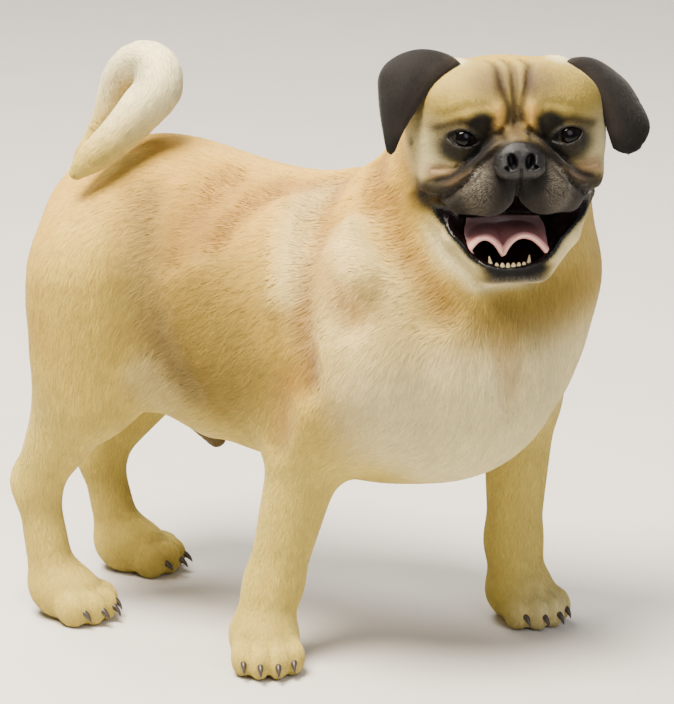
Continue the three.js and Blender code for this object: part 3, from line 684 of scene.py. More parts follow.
def make_piece(name, points, triangles, material, colour=None, wetness=None, uv=None, normals=None):
    """One mesh in the part's frame, from arrays of corners in plan millimetres and corner numbers."""
    mesh = bpy.data.meshes.new(name)
    corners = (points + SHIFT) * MM
    mesh.vertices.add(len(corners))
    mesh.vertices.foreach_set("co", corners.astype(np.float32).ravel())
    mesh.loops.add(triangles.size)
    mesh.loops.foreach_set("vertex_index", triangles.astype(np.int32).ravel())
    mesh.polygons.add(len(triangles))
    mesh.polygons.foreach_set("loop_start", np.arange(0, triangles.size, 3, dtype=np.int32))
    mesh.update(calc_edges=True)
    mesh.polygons.foreach_set("use_smooth", np.full(len(triangles), True))
    if normals is not None:
        mesh.normals_split_custom_set_from_vertices(normals.tolist())
    if colour is not None:
        layer = mesh.color_attributes.new("marking", "FLOAT_COLOR", "POINT")
        rgba = np.column_stack([colour, np.ones(len(colour))])
        layer.data.foreach_set("color", rgba.astype(np.float32).ravel())
    if wetness is not None:
        layer = mesh.attributes.new("wetness", "FLOAT", "POINT")
        layer.data.foreach_set("value", wetness.astype(np.float32))
    if uv is not None:
        layer = mesh.uv_layers.new(name="OFBake")
        layer.data.foreach_set("uv", uv[triangles.ravel()].astype(np.float32).ravel())
    mesh.materials.append(material)
    piece = bpy.data.objects.new(name, mesh)
    bpy.context.scene.collection.objects.link(piece)
    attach(piece, "root")
    return piece


def grid_triangles(rows, columns, closed=False):
    """Two triangles for each cell of a grid of corners; closed joins the last column to the first."""
    r, c = np.meshgrid(np.arange(rows - 1), np.arange(columns if closed else columns - 1), indexing="ij")
    a = r * columns + c
    b = r * columns + (c + 1) % columns
    quads = np.stack([a, b, b + columns, a + columns], -1).reshape(-1, 4)
    return np.vstack([quads[:, [0, 1, 2]], quads[:, [0, 2, 3]]])


def tube(line, radii, sides):
    """Closed tube: a ring of corners around each point of the line, with both ends drawn to a point."""
    line = np.array(line, float)
    radii = np.array(radii, float)
    along = np.gradient(line, axis=0)
    along /= np.linalg.norm(along, axis=1)[:, None]
    guide = np.eye(3)[np.argmin(np.abs(along).max(0))]
    across = np.cross(along, guide)
    across /= np.linalg.norm(across, axis=1)[:, None]
    up = np.cross(along, across)
    angle = np.linspace(0, 2 * np.pi, sides, endpoint=False)[None, :, None]
    outwards = np.cos(angle) * across[:, None] + np.sin(angle) * up[:, None]
    ring = line[:, None] + radii[:, None, None] * outwards
    rows = len(line)
    points = np.vstack([ring.reshape(-1, 3), line[:1], line[-1:]])
    first = np.arange(sides)
    following = (first + 1) % sides
    last = (rows - 1) * sides
    start = np.stack([np.full(sides, rows * sides), following, first], 1)
    end = np.stack([np.full(sides, rows * sides + 1), last + first, last + following], 1)
    return points, np.vstack([grid_triangles(rows, sides, closed=True), start, end])


def gathered(parts):
    """Several (points, triangles) as one."""
    points = np.vstack([p for p, _ in parts])
    starts = np.cumsum([0] + [len(p) for p, _ in parts[:-1]])
    return points, np.vstack([t + s for (_, t), s in zip(parts, starts)])


def sheet(surface, rows, columns, thickness):
    """Closed sheet: a grid of points given by surface(along, across), moved by half the thickness to each
    side, and by less along its rim."""
    along, across = np.meshgrid(np.linspace(0, 1, rows), np.linspace(0, 1, columns), indexing="ij")
    middle = surface(along, across)
    normal = np.cross(np.gradient(middle, axis=0), np.gradient(middle, axis=1))
    normal /= np.maximum(np.linalg.norm(normal, axis=-1), 1e-9)[..., None]
    cells_from_rim = np.minimum(np.minimum(across, 1 - across) * columns, (1 - along) * rows)
    half = thickness / 2 * np.sqrt(np.clip(cells_from_rim / 3, 0.03, 1))[..., None]
    front = (middle + normal * half).reshape(-1, 3)
    back = (middle - normal * half).reshape(-1, 3)
    faces = grid_triangles(rows, columns)
    number = np.arange(rows * columns).reshape(rows, columns)
    edge = np.concatenate([number[:-1, 0], number[-1, :-1], number[:0:-1, -1], number[0, :0:-1]])
    following = np.roll(edge, -1)
    size = rows * columns
    wall = np.vstack([
        np.stack([edge, following, following + size], 1),
        np.stack([edge, following + size, edge + size], 1),
    ])
    return np.vstack([front, back]), np.vstack([faces[:, ::-1], faces + size, wall[:, ::-1]])


def outward(points, triangles):
    """Triangles turned so that the closed surface's volume is above zero."""
    a, b, c = (points[triangles[:, k]] for k in range(3))
    volume = np.einsum("ij,ij->i", a, np.cross(b, c)).sum()
    return (points, triangles) if volume > 0 else (points, triangles[:, ::-1])


# Markings: the coat's colours by place, for skin and coat alike

# Colours of the coat and skin. Some stand in for light: the tan and the ochre are laid on as painted shade,
# the smudge both as a real smudge and as painted shade, and the straw as a painted highlight.
COLOURS = {name: hex_linear(code) for name, code in {
    "fawn": "#b4963a", "cream": "#c9b45a", "pale": "#ece1b0", "highlight_straw": "#dcc884", "tan": "#966a2c",
    "shade_ochre": "#826c2e", "back": "#cfa448", "black": "#0c0a09", "soot": "#211c17", "brown": "#332214",
    "grey": "#948c7a", "smudge_and_fold_shade": "#665538", "ear": "#14110f", "ear_brown_and_sheen": "#2e2721", "lip": "#090808",
    "gum": "#1f0d0e", "umber": "#4f3d27", "honey": "#c49a4a", "rose": "#7c5840", "sheath": "#4f3f29",
    "lid": "#120f0e",
}.items()}

TUFT_BESIDE_EAR = ((33, 26, 47), (8, 11, 8), 0.6)

# Spots of colour, laid on in this order, as (colour, centre, radii, softness of the edge, share)
# Painted light and shade on each side of the trunk: painted shade on the lower flank, painted light on the
# thigh and a painted highlight on the shoulder's bulge.
LIGHT_AND_SHADE_ON_BOTH_SIDES = {
    "flank": ("shade_ochre", (86, 6, 200), (50, 46, 66), 0.6, 0.75),
    "thigh": ("cream", (86, 84, 225), (40, 34, 60), 0.5, 0.45),
    "shoulder": ("highlight_straw", (88, -100, 232), (40, 40, 36), 0.6, 0.7),
}
SPOTS_ON_BODY = {"left_breast": ("pale", (42, -150, 258), (48, 44, 60), 0.6, 0.75)}
SPOTS_ON_HEAD = {
    "cheek": ("pale", (48, 14, -6), (17, 26, 22), 0.5, 0.7),
    "jaw": ("pale", (24, 8, -66), (34, 22, 24), 0.5, 0.7),
    "beside_ear": ("pale", *TUFT_BESIDE_EAR, 0.9),
    "forehead": ("smudge_and_fold_shade", (12, -4, 36), (15, 20, 11), 0.7, 0.75),
    "wide_forehead": ("smudge_and_fold_shade", (22, 0, 30), (34, 34, 24), 0.6, 0.3),
    "forehead_folds": ("brown", (9.5, -4, 35), (4, 24, 7), 0.8, 0.6),
    "between_eyes": ("brown", (0, -14, 13), (6, 28, 9), 0.7, 0.8),
    "brow_fold": ("honey", (10, -14, 14.5), (4.6, 20, 9), 0.35, 0.9),
}
SPOTS_UNDER_EYE = {"jowl_fold": ("rose", (45, 2, -17), (11, 16, 6), 0.7, 0.8)}
CHIN_SPOTS = {
    "chin_edge": ("black", (0, -18, -76), (24, 22, 5.5), 0.3, 1.0),
    "under_chin": ("pale", (0, -8, -88.5), (26, 22, 3.5), 0.5, 0.85),
}

# The mask's upper edge on one side of the face: height over the distance from the middle
MASK_EDGE = ((0, 8, 14, 19.3, 27, 34, 42, 55), (5, 3, -3.5, -8, -17, -24.5, -31, -34))
BROW_BAND = ((24, 0, 13), (36, 0, 12.5), (48, 0, 9))
MOLE = (-60, 22, -3)


def blended(colour, name, share):
    """The colour moved by the share of the way towards the named one."""
    return colour + (COLOURS[name] - colour) * share[:, None]


def spot(q, centre, radii, edge=0.35):
    """1 inside an ellipsoid and 0 outside it, soft over the given share of its size."""
    reach = np.linalg.norm((q - np.array(centre, float)) / np.array(radii, float), axis=-1)
    return smooth(1 + edge, 1 - edge, reach)


def stroke(q, points, width, distance):
    """1 along a line, fading over its width."""
    return np.exp(-((distance(q, points) / width) ** 2))


def spotted(colour, q, spots, within=1.0):
    """The colour with each spot laid over it in turn, within the given share."""
    for name, centre, radii, edge, share in spots.values():
        colour = blended(colour, name, within * spot(q, centre, radii, edge) * share)
    return colour


def body_colour(p, found):
    """Fawn, warmer along the back and paler below, on the chest and the tail, with painted light from above
    lightening the top of the back and of the tail's curl, a painted highlight on each raised fold and painted
    shade in each sunken fold.
    """
    z = p[:, 2]
    on_tail = smooth(10, 0, found["tail"])
    chest = smooth(30, -20, CHEST.into(p)[:, 1] + 60) * smooth(240, 190, z)
    colour = np.tile(COLOURS["fawn"], (len(p), 1))
    # Warmer and lighter along the top of the back: a warmer coat, with painted light from above making it
    # lighter.
    colour = blended(colour, "back", smooth(205, 290, z) * smooth(-150, -60, p[:, 1]) * 0.8)
    colour = blended(colour, "cream", smooth(200, 120, z) * 0.9)
    colour = blended(colour, "pale", chest * 0.7)
    colour = blended(colour, "cream", on_tail * 0.8)
    # Paler over the top of the tail's curl: the tail's own paler coat, with painted light from above.
    colour = blended(colour, "pale", on_tail * smooth(300, 350, z))
    # Painted shade on the flanks, and painted light on the thighs and shoulders, alike on both sides.
    colour = spotted(colour, p * (0, 1, 1) + np.abs(p) * (1, 0, 0), LIGHT_AND_SHADE_ON_BOTH_SIDES)
    colour = spotted(colour, p, SPOTS_ON_BODY)
    # Painted light on the creases: a painted highlight on each raised fold, and painted shade in each sunken
    # fold, darker the deeper it is.
    for line, width, height in BODY_CREASES.values():
        fold = stroke(p, line, width * 0.8, sunk_distance)
        if height > 0:
            colour = blended(colour, "highlight_straw", fold * 0.6)
        else:
            shade_share = min(-1.5 * height / width, 0.95)
            colour = blended(colour, "tan" if width < 12 else "smudge_and_fold_shade", fold * shade_share)
    return blended(colour, "sheath", smooth(5, 0, rod(p, *SHEATH_TIP)) * 0.9)


def upper_face_colour(colour, q, head):
    """Pale cheeks, a brown-smudged brow, dark lines in the folds, and the raised wrinkle over the nose."""
    colour = blended(colour, "cream", head * smooth(40, 6, q[:, 1]) * 0.6)
    colour = spotted(colour, q, SPOTS_ON_HEAD, head)
    for name in ("forehead_middle", "forehead_side", "brow_nick"):
        colour = blended(colour, "brown", head * stroke(q, HEAD_CREASES[name][0], 2.2, face_distance) * 0.8)
    from_middle = smooth(6, 20, q[:, 0])
    wrinkle = np.clip(stroke(q, HEAD_CREASES["wrinkle"][0], 4.6, face_distance) * 1.6, 0, 1) * head
    colour = blended(colour, "umber", wrinkle * (0.75 + 0.2 * from_middle))
    colour = spotted(colour, q, SPOTS_UNDER_EYE, head)
    for name, width in (("above_wrinkle", 2.6), ("below_wrinkle", 3.6), ("jowl", 3.2)):
        line = stroke(q, HEAD_CREASES[name][0], width, face_distance)
        colour = blended(colour, "black", head * line * (0.55 + 0.42 * from_middle))
    eye_patch = spot(q, (32, -8, -1), (18, 24, 13), 0.42)
    brow = spot(q, (20.5, -11, 12), (7.5, 12, 8), 0.45)
    colour = blended(colour, "brown", head * stroke(q, BROW_BAND, 3.6, face_distance) * 0.8)
    return blended(colour, "black", head * np.clip(eye_patch + brow, 0, 1) * 0.97)


def markings(p, found):
    """Colour of the coat and skin, with a painted shadow on the neck under the jaw, and how grey, how bare
    and how wet each place is.
    """
    q, from_mouth = found["q"], found["mouth"]
    head = smooth(16, 4, found["head"])
    colour = upper_face_colour(body_colour(p, found), q, head)

    below_edge = smooth(3, -1, q[:, 2] - np.interp(q[:, 0], *MASK_EDGE))
    mask = smooth(7, 1, found["muzzle"]) * below_edge
    colour = blended(colour, "soot", head * mask)
    colour = blended(colour, "black", head * mask * spot(q, (0, -26, -22), (12, 22, 17), 0.5) * 0.6)
    corner = np.maximum(spot(q, (48, 8, -37), (13, 34, 8)), spot(q, (49, 6, -29), (13, 28, 7), 0.5))
    colour = blended(colour, "soot", head * corner * 0.95)
    lips = smooth(4.4, 3.0, from_mouth) * head
    colour = blended(colour, "black", lips * smooth(-38, -44, q[:, 2]))
    chin = head * spot(q, (0, -14, -82), (21, 20, 6), 0.4)
    colour = blended(colour, "soot", chin * (1 - lips))
    colour = spotted(colour, q, CHIN_SPOTS, head)
    # Painted shadow: the neck darkened under the jaw, where the head shades it.
    shadow_under_jaw = spot(p, HEAD.at(0, 14, -104), (60, 60, 22), 0.6) * (1 - head)
    colour = blended(colour, "shade_ochre", shadow_under_jaw * 0.8)
    mole = np.exp(-((np.linalg.norm(found["h"] - MOLE, axis=-1) / 2.6) ** 2))
    colour = blended(colour, "black", np.clip(mole * 1.5, 0, 1))

    wet_lip = smooth(2.6, 1.4, from_mouth) * head
    colour = blended(colour, "lip", wet_lip)
    inside = smooth(1.2, -0.3, from_mouth) * smooth(-14, -2, q[:, 1])
    colour = blended(colour, "gum", inside * head * 0.7)
    on_lid = np.abs(from_eye(q) - EYE_RADIUS - 1) < 2
    rim = np.exp(-((eye_opening(q) / 1.3) ** 2)) * on_lid * head
    colour = blended(colour, "lip", rim)
    colour = blended(colour, "lid", rim * smooth(1, -3, q[:, 2] - EYE_PLACE[2]) * 0.8)

    grey = head * mask * spot(q, (24, -20, -23), (9, 24, 14), 0.6)
    return {
        "colour": colour,
        "grey": np.maximum(grey, chin * (1 - lips) * smooth(-78, -82, q[:, 2])),
        "bare": np.clip(np.maximum(wet_lip, rim * 1.5), 0, 1),
        "wet": np.clip(wet_lip + rim * 0.2, 0, 1),
    }


# Coat: tufts of short fur, each a thin closed blade that leans along the lie of the coat

def lie_of_coat(p, normals, found):
    """Direction of the hair: back from the nose on the head, back and down on the trunk, down on the legs and
    the chest, and along the tail. Each part's direction counts by exp(-distance / reach)."""
    from_nose = found["h"] - (0, -46, -6)
    from_nose /= np.linalg.norm(from_nose, axis=1)[:, None]
    head_lie = (from_nose + (0, 0.5, 0)) @ HEAD.axes.T
    from_head = p - HEAD_MIDDLE
    neck_lie = np.array((0.0, 0.55, -0.75)) + 0.5 * from_head / np.linalg.norm(from_head, axis=1)[:, None]
    steepness = 1 - np.abs(normals[:, 2])
    trunk_lie = np.column_stack([np.zeros(len(p)), np.ones(len(p)), -0.25 - 0.6 * steepness])
    front = smooth(-60, -100, CHEST.into(p)[:, 1] + 10)
    trunk_lie = trunk_lie * (1 - front)[:, None] + np.array((0, 0.15, -1.0)) * front[:, None]
    leg_lie = np.tile((0.0, 0.12, -1.0), (len(p), 1))
    nearest = np.argmin(np.linalg.norm(p[:, None, :] - tail_points[None], axis=-1), axis=1)
    tail_lie = np.gradient(tail_points, axis=0)[nearest]
    tail_lie /= np.linalg.norm(tail_lie, axis=1)[:, None]
    lie = np.zeros_like(p)
    parts = (("head", head_lie, 9), ("neck", neck_lie, 14), ("trunk", trunk_lie, 18),
             ("fore", leg_lie, 10), ("hind", leg_lie, 10), ("tail", tail_lie, 5))
    for name, direction, reach in parts:
        lie += direction * np.exp(-np.maximum(found[name], 0) / reach)[:, None]
    return lie


def coat_length(p, found):
    """The hair's length in millimetres: shortest on muzzle, lids and tail's tip, longest on the chest."""
    q = found["q"]
    length = 10.5 + 2.5 * smooth(-60, -110, CHEST.into(p)[:, 1]) * smooth(250, 180, p[:, 2])
    on_leg = smooth(12, 0, np.minimum(found["fore"], found["hind"])) * smooth(190, 120, p[:, 2])
    at_tail_tip = smooth(30, 12, np.linalg.norm(p - tail_points[-1], axis=1))
    for shorter, share in (
        (7, on_leg), (4.2, smooth(60, 30, p[:, 2])), (9, smooth(10, 0, found["tail"])), (2.5, at_tail_tip),
        (3, smooth(9, 2, rod(p, *SHEATH_SHORT_HAIR))),
    ):
        length = length + (shorter - length) * share
    face = 2.4 + 3.2 * smooth(-6, 40, q[:, 1]) + 1.5 * smooth(36, 56, q[:, 0]) + 6 * spot(q, *TUFT_BESIDE_EAR)
    return length + (face - length) * smooth(14, 3, found["head"])


def scatter(points, triangles, normals, density):
    """Places for tufts: an even walk through the triangles by area times density, each at a random spot."""
    a, b, c = (points[triangles[:, k]] for k in range(3))
    area = np.linalg.norm(np.cross(b - a, c - a), axis=1) / 2
    weight = np.cumsum(area * density)
    count = int(weight[-1])
    pick = np.searchsorted(weight, (np.arange(count) + rng.random(count)) * weight[-1] / count)
    chosen = triangles[np.minimum(pick, len(triangles) - 1)]
    u, v = rng.random((2, count))
    over = u + v > 1
    u[over], v[over] = 1 - u[over], 1 - v[over]
    share = np.column_stack([1 - u - v, u, v])
    place = (points[chosen] * share[..., None]).sum(1)
    normal = (normals[chosen] * share[..., None]).sum(1)
    return place, normal / np.linalg.norm(normal, axis=1)[:, None]


RIDGE_ALONG = 0.42


def blades(root, normal, lie, length, width, lift, height_of=None):
    """Thin tetrahedra along the lie: two corners sunk in the skin, one raised on the back and a tip.

    Where height_of gives the height over the skin, the ridge and the tip are set at their share of the lift
    over it, and the ridge is kept above the line from the base to the tip, also over a hollow."""
    lie = lie - normal * (lie * normal).sum(1)[:, None]
    lie /= np.maximum(np.linalg.norm(lie, axis=1), 1e-6)[:, None]
    side = np.cross(normal, lie)
    angle = rng.normal(0, 0.22, len(root))[:, None]
    along = lie * np.cos(angle) + side * np.sin(angle)
    side = np.cross(normal, along)
    lift, length, width = lift[:, None], length[:, None], width[:, None]
    base = root - normal * 0.5 * lift
    left = base - side * width / 2
    right = base + side * width / 2
    ridge = root + along * length * RIDGE_ALONG + normal * lift * 0.75
    tip = root + along * length + normal * lift * 0.7
    if height_of is not None:
        for corner, height in ((ridge, 0.75), (tip, 0.8)):
            corner += normal * np.clip(lift[:, 0] * height - height_of(corner), -4, 4)[:, None]
        sag = 0.4 * lift - ((ridge - base - (tip - base) * RIDGE_ALONG) * normal).sum(1)[:, None]
        ridge += normal * np.maximum(sag, 0)
    corners = np.stack([left, right, ridge, tip], 1).reshape(-1, 3)
    start = np.arange(len(root))[:, None, None] * 4
    faces = (start + np.array([[0, 2, 1], [1, 2, 3], [3, 2, 0], [0, 1, 3]])).reshape(-1, 3)
    return corners, faces


def tuft_colours(root, tip, grey):
    """From the root's marking to the tip's, with painted shade darkening the root and painted light
    brightening the tip, each tuft a little lighter or darker than its neighbours, with grey hairs among the
    black where grey is above zero."""
    count = len(root)
    grizzled = (grey * rng.uniform(0.02, 0.8, count))[:, None]
    root, tip = (colour + (COLOURS["grey"] - colour) * grizzled for colour in (root, tip))
    tone = rng.normal(1, 0.085, (count, 1)) * (1 + rng.normal(0, 0.02, (count, 3)))
    # Painted shade at the root, where the coat shades itself, and painted light at the tip.
    corners = np.stack([root * 0.84, root * 0.84, (root + tip) / 2, tip * 1.08], 1)
    return np.clip(corners * tone[:, None], 0, 1).reshape(-1, 3)


def tuft_normals(normal):
    """Each tuft is shaded with the skin's own direction at its root, turned a little at random."""
    soft = normal + rng.normal(0, 0.11, normal.shape)
    return np.repeat(soft / np.linalg.norm(soft, axis=1)[:, None], 4, axis=0)


PATCH = 0.003


def tuft_patches(uv):
    """A patch at each root's place on the unwrap, PATCH across."""
    offset = np.array([(-1, -1), (1, -1), (0, 0), (0, 1)]) * PATCH / 2
    return (uv[:, None] + offset).reshape(-1, 2)


def round_axis(p, origin, direction, low, high):
    """Unwrap around an axis: the angle across, and the way along the axis between low and high up."""
    direction = np.array(direction, float) / np.linalg.norm(direction)
    side = np.cross(direction, (0.3, 0.2, 1.0) if abs(direction[2]) < 0.8 else (0, 1.0, 0))
    side /= np.linalg.norm(side)
    up = np.cross(direction, side)
    q = p - np.array(origin, float)
    return np.column_stack([
        np.arctan2(q @ side, q @ up) / (2 * np.pi) + 0.5,
        (q @ direction - low) / (high - low),
    ])


# Materials

def add_node(material, kind, inputs=None, **settings):
    """Adds one node, with its settings, constant inputs and links."""
    tree = material.node_tree
    node = tree.nodes.new(kind)
    for name, value in settings.items():
        setattr(node, name, value)
    for socket, value in (inputs or {}).items():
        if isinstance(value, bpy.types.NodeSocket):
            tree.links.new(value, node.inputs[socket])
        else:
            node.inputs[socket].default_value = value
    return node


def new_material(name):
    """A material without nodes."""
    material = bpy.data.materials.new(name)
    material.use_nodes = True
    material.node_tree.nodes.clear()
    return material


def finish_material(material, inputs):
    """Adds the surface's shader with the inputs given, and the output."""
    shader = add_node(material, "ShaderNodeBsdfPrincipled", inputs)
    add_node(material, "ShaderNodeOutputMaterial", {"Surface": shader.outputs["BSDF"]})
    return material


def pattern(material, kind, millimetres, stretch=(1, 1, 1), inputs=None, **settings):
    """A texture on Object coordinates whose features are the given number of millimetres across."""
    place = add_node(material, "ShaderNodeTexCoord").outputs["Object"]
    scale = [1 / (millimetres * MM * s) for s in stretch]
    mapping = add_node(material, "ShaderNodeMapping", {"Vector": place, "Scale": scale})
    inputs = {"Vector": mapping.outputs["Vector"], "Scale": 1.0, **(inputs or {})}
    return add_node(material, kind, inputs, **settings)


def marking_of(material, noise, low, high):
    """The marking's colour, made lighter and darker by a noise between low and high."""
    marking = add_node(material, "ShaderNodeAttribute", attribute_name="marking")
    tone = add_node(material, "ShaderNodeMapRange", {"Value": noise, "To Min": low, "To Max": high})
    scaled = add_node(material, "ShaderNodeVectorMath",
                      {0: marking.outputs["Color"], 1: tone.outputs["Result"]}, operation="MULTIPLY")
    return scaled.outputs["Vector"]


def make_fur(name, roughness, specular, sheen):
    """Short guard hair, clean and dry: soft satin, with a pale bloom at the edges of the form."""
    material = new_material(name)
    noise = pattern(material, "ShaderNodeTexNoise", 9.0, inputs={"Detail": 3.0})
    return finish_material(material, {
        "Base Color": marking_of(material, noise.outputs["Fac"], 0.86, 1.14),
        "Roughness": roughness, "Specular IOR Level": specular, "Sheen Weight": sheen, "Sheen Roughness": 0.5,
    })


def make_skin_material():
    """Skin under short fur: dull and furrowed by the hair, and wet and pebbled where the lips are bare."""
    material = new_material("skin_under_fur")
    hair = pattern(material, "ShaderNodeTexNoise", 1.1, stretch=(1, 1, 3), inputs={"Detail": 3.0})
    wet = add_node(material, "ShaderNodeAttribute", attribute_name="wetness").outputs["Fac"]
    pebble = pattern(material, "ShaderNodeTexVoronoi", 1.6, feature="F1")
    rough = add_node(material, "ShaderNodeMapRange", {"Value": wet, "To Min": 0.62, "To Max": 0.2})
    furrows = add_node(material, "ShaderNodeBump", {
        "Height": hair.outputs["Fac"], "Distance": 0.5 * MM, "Strength": 0.6})
    pebbles = add_node(material, "ShaderNodeBump", {
        "Height": pebble.outputs["Distance"], "Distance": 0.35 * MM, "Strength": 0.5,
        "Normal": furrows.outputs["Normal"]})
    return finish_material(material, {
        "Base Color": marking_of(material, hair.outputs["Fac"], 0.7, 0.95),
        "Roughness": rough.outputs["Result"], "Specular IOR Level": 0.25, "Normal": pebbles.outputs["Normal"],
    })


def make_nose_leather():
    """Bare nose leather: near black, moist, with a fine net of raised pads about 1.1 mm across."""
    material = new_material("nose_leather")
    pads = pattern(material, "ShaderNodeTexVoronoi", 1.1, feature="DISTANCE_TO_EDGE")
    height = add_node(material, "ShaderNodeMapRange", {"Value": pads.outputs["Distance"], "From Max": 0.35})
    rough = add_node(material, "ShaderNodeMapRange", {
        "Value": height.outputs["Result"], "To Min": 0.34, "To Max": 0.52})
    raised = add_node(material, "ShaderNodeBump", {
        "Height": height.outputs["Result"], "Distance": 0.28 * MM, "Strength": 0.7})
    return finish_material(material, {
        "Base Color": (*hex_linear("#08080b"), 1), "Roughness": rough.outputs["Result"], "IOR": 1.4,
        "Coat Weight": 0.1, "Coat Roughness": 0.2, "Normal": raised.outputs["Normal"],
    })


def make_eye_material():
    """Living eye: a dark brown iris and wide pupil under a clear wet cornea, which gives sharp highlights."""
    material = new_material("wet_eye")
    fibres = pattern(material, "ShaderNodeTexNoise", 0.8, inputs={"Detail": 4.0})
    return finish_material(material, {
        "Base Color": marking_of(material, fibres.outputs["Fac"], 0.6, 1.4),
        "Roughness": 0.12, "IOR": 1.38, "Specular IOR Level": 0.1,
        "Coat Weight": 0.22, "Coat Roughness": 0.03,
    })


def make_tongue_material():
    """Tongue: soft pink flesh, wet, with papillae 0.9 mm apart and light scattered up to 3.6 mm inside."""
    material = new_material("tongue_flesh")
    papillae = pattern(material, "ShaderNodeTexVoronoi", 0.9, feature="F1")
    mottle = pattern(material, "ShaderNodeTexNoise", 6.0, inputs={"Detail": 4.0})
    raised = add_node(material, "ShaderNodeBump", {
        "Height": papillae.outputs["Distance"], "Distance": 0.25 * MM, "Strength": 0.5})
    return finish_material(material, {
        "Base Color": marking_of(material, mottle.outputs["Fac"], 0.85, 1.12),
        "Roughness": 0.36, "Subsurface Weight": 0.25, "Subsurface Radius": (0.0036, 0.0014, 0.001),
        "Subsurface Scale": 1.0, "Coat Weight": 0.3, "Coat Roughness": 0.15,
        "Normal": raised.outputs["Normal"],
    })


def mottled(material, dark, light, millimetres, detail=2.0, stretch=(1, 1, 1)):
    """Colour from dark to light over a noise with grains of the given size, and the noise itself."""
    noise = pattern(material, "ShaderNodeTexNoise", millimetres, stretch, {"Detail": detail}).outputs["Fac"]
    tint = add_node(material, "ShaderNodeValToRGB", {"Fac": noise})
    for element, code in zip(tint.color_ramp.elements, (dark, light)):
        element.color = (*hex_linear(code), 1)
    return tint.outputs["Color"], noise


def make_enamel():
    """Dog's tooth enamel: ivory, yellower in streaks, smooth and wet."""
    material = new_material("tooth_enamel")
    colour, _ = mottled(material, "#a08a5c", "#d6c8a0", 2.0, stretch=(1, 1, 4))
    return finish_material(material, {
        "Base Color": colour, "Roughness": 0.22, "IOR": 1.62,
        "Subsurface Weight": 0.1, "Subsurface Radius": (0.001, 0.0008, 0.0006), "Subsurface Scale": 1.0,
    })


def make_horn():
    """Claw horn: dark grey-brown, satin and faintly uneven."""
    material = new_material("claw_horn")
    colour, noise = mottled(material, "#1b1716", "#4c423b", 1.0, detail=3.0)
    uneven = add_node(material, "ShaderNodeBump", {"Height": noise, "Distance": 0.15 * MM, "Strength": 0.4})
    return finish_material(material, {
        "Base Color": colour, "Roughness": 0.34, "IOR": 1.54, "Normal": uneven.outputs["Normal"],
    })


def make_paper():
    """Studio paper: pale warm grey, matt, hardly mottled."""
    material = new_material("studio_paper")
    colour, _ = mottled(material, "#d8d5d0", "#dfdcd7", 60.0)
    return finish_material(material, {"Base Color": colour, "Roughness": 0.9})


FUR = make_fur("short_fur", 0.7, 0.18, 0.1)
VELVET = make_fur("ear_velvet", 0.72, 0.15, 0.12)
SKIN = make_skin_material()
NOSE_LEATHER = make_nose_leather()
EYE = make_eye_material()
TONGUE_FLESH = make_tongue_material()
ENAMEL = make_enamel()
HORN = make_horn()
PAPER = make_paper()


# The skin

skin_points, skin_triangles = make_skin()
skin_normals = corner_normals(skin_points, skin_triangles)
skin_marks = markings(skin_points, survey(skin_points, fine=True))
skin = make_piece("skin", skin_points, skin_triangles, SKIN,
                  colour=skin_marks["colour"], wetness=skin_marks["wet"])
OWN_PIECES = ("eye", "nose", "tongue", "ear")
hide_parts(*[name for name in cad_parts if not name.startswith(OWN_PIECES)])


# Ears: bent sheets of velvet, rooted in the skull

def ear_surface(lines, along, across):
    """Quadratic through the front, middle and back lines, each a smooth curve from root to tip."""
    front, middle, back = (curve(line, along.shape[0])[:, None] for line in lines)
    t = across[..., None]
    return front * (1 - t) * (1 - 2 * t) + middle * 4 * t * (1 - t) + back * t * (2 * t - 1)


def ear_colours(h, side):
    """Black-brown, browner at the root, and lighter brown in a band beside the folded front edge, a painted
    sheen where the fold catches the light.
    """
    colour = np.tile(COLOURS["ear"], (len(h), 1))
    root = smooth(34, 22, np.abs(h[:, 0]) - 0.35 * (h[:, 2] - 20))
    line = np.array(EARS[side][0]) * 0.8 + np.array(EARS[side][1]) * 0.2
    # Painted sheen: the band along the folded front edge.
    fold = np.exp(-((line_distance(h, line[:5]) / 5) ** 2))
    return blended(colour, "ear_brown_and_sheen", np.clip(root * 0.6 + fold * 0.7, 0, 1))


SIDES = {"right": -1, "left": 1}
ear_meshes = {}
for word, side in SIDES.items():
    points, triangles = sheet(lambda u, v: ear_surface(EARS[side], u, v), 44, 28, EAR_THICKNESS)
    points, triangles = outward(HEAD.out(points), triangles)
    ear_meshes[word] = (points, triangles)
    ear = make_piece(f"ear_{word}_leather", points, triangles, VELVET,
                     colour=ear_colours(HEAD.into(points), side))
    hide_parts(f"ear_{word}")


# Eyes

def ball(rows, columns):
    """Unit directions over a sphere on rows of latitude between two poles on the Z axis."""
    latitudes = np.linspace(0, np.pi, rows + 2)[1:-1]
    longitudes = np.linspace(0, 2 * np.pi, columns, endpoint=False)
    polar, turn = np.meshgrid(latitudes, longitudes, indexing="ij")
    ring = np.stack([np.sin(polar) * np.cos(turn), np.sin(polar) * np.sin(turn), np.cos(polar)], -1)
    ring = ring.reshape(-1, 3)
    points = np.vstack([ring, (0, 0, 1), (0, 0, -1)])
    first = np.arange(columns)
    following = (first + 1) % columns
    last = (rows - 1) * columns
    top = np.stack([np.full(columns, len(ring)), first, following], 1)
    bottom = np.stack([np.full(columns, len(ring) + 1), last + following, last + first], 1)
    sides = grid_triangles(rows, columns, closed=True)[:, ::-1]
    return points, np.vstack([sides, top, bottom])


PUPIL = 0.42
CORNEA_HEIGHT = 0.8
EYE_GROUND = "#100b09"
EYE_RINGS = {
    "iris": ("#110a07", lambda angle: smooth(PUPIL, 0.5, angle) * smooth(0.80, 0.72, angle)),
    "pupil": ("#050404", lambda angle: smooth(0.46, PUPIL, angle)),
    "limbus": ("#120b09", lambda angle: smooth(0.74, 0.82, angle)),
}


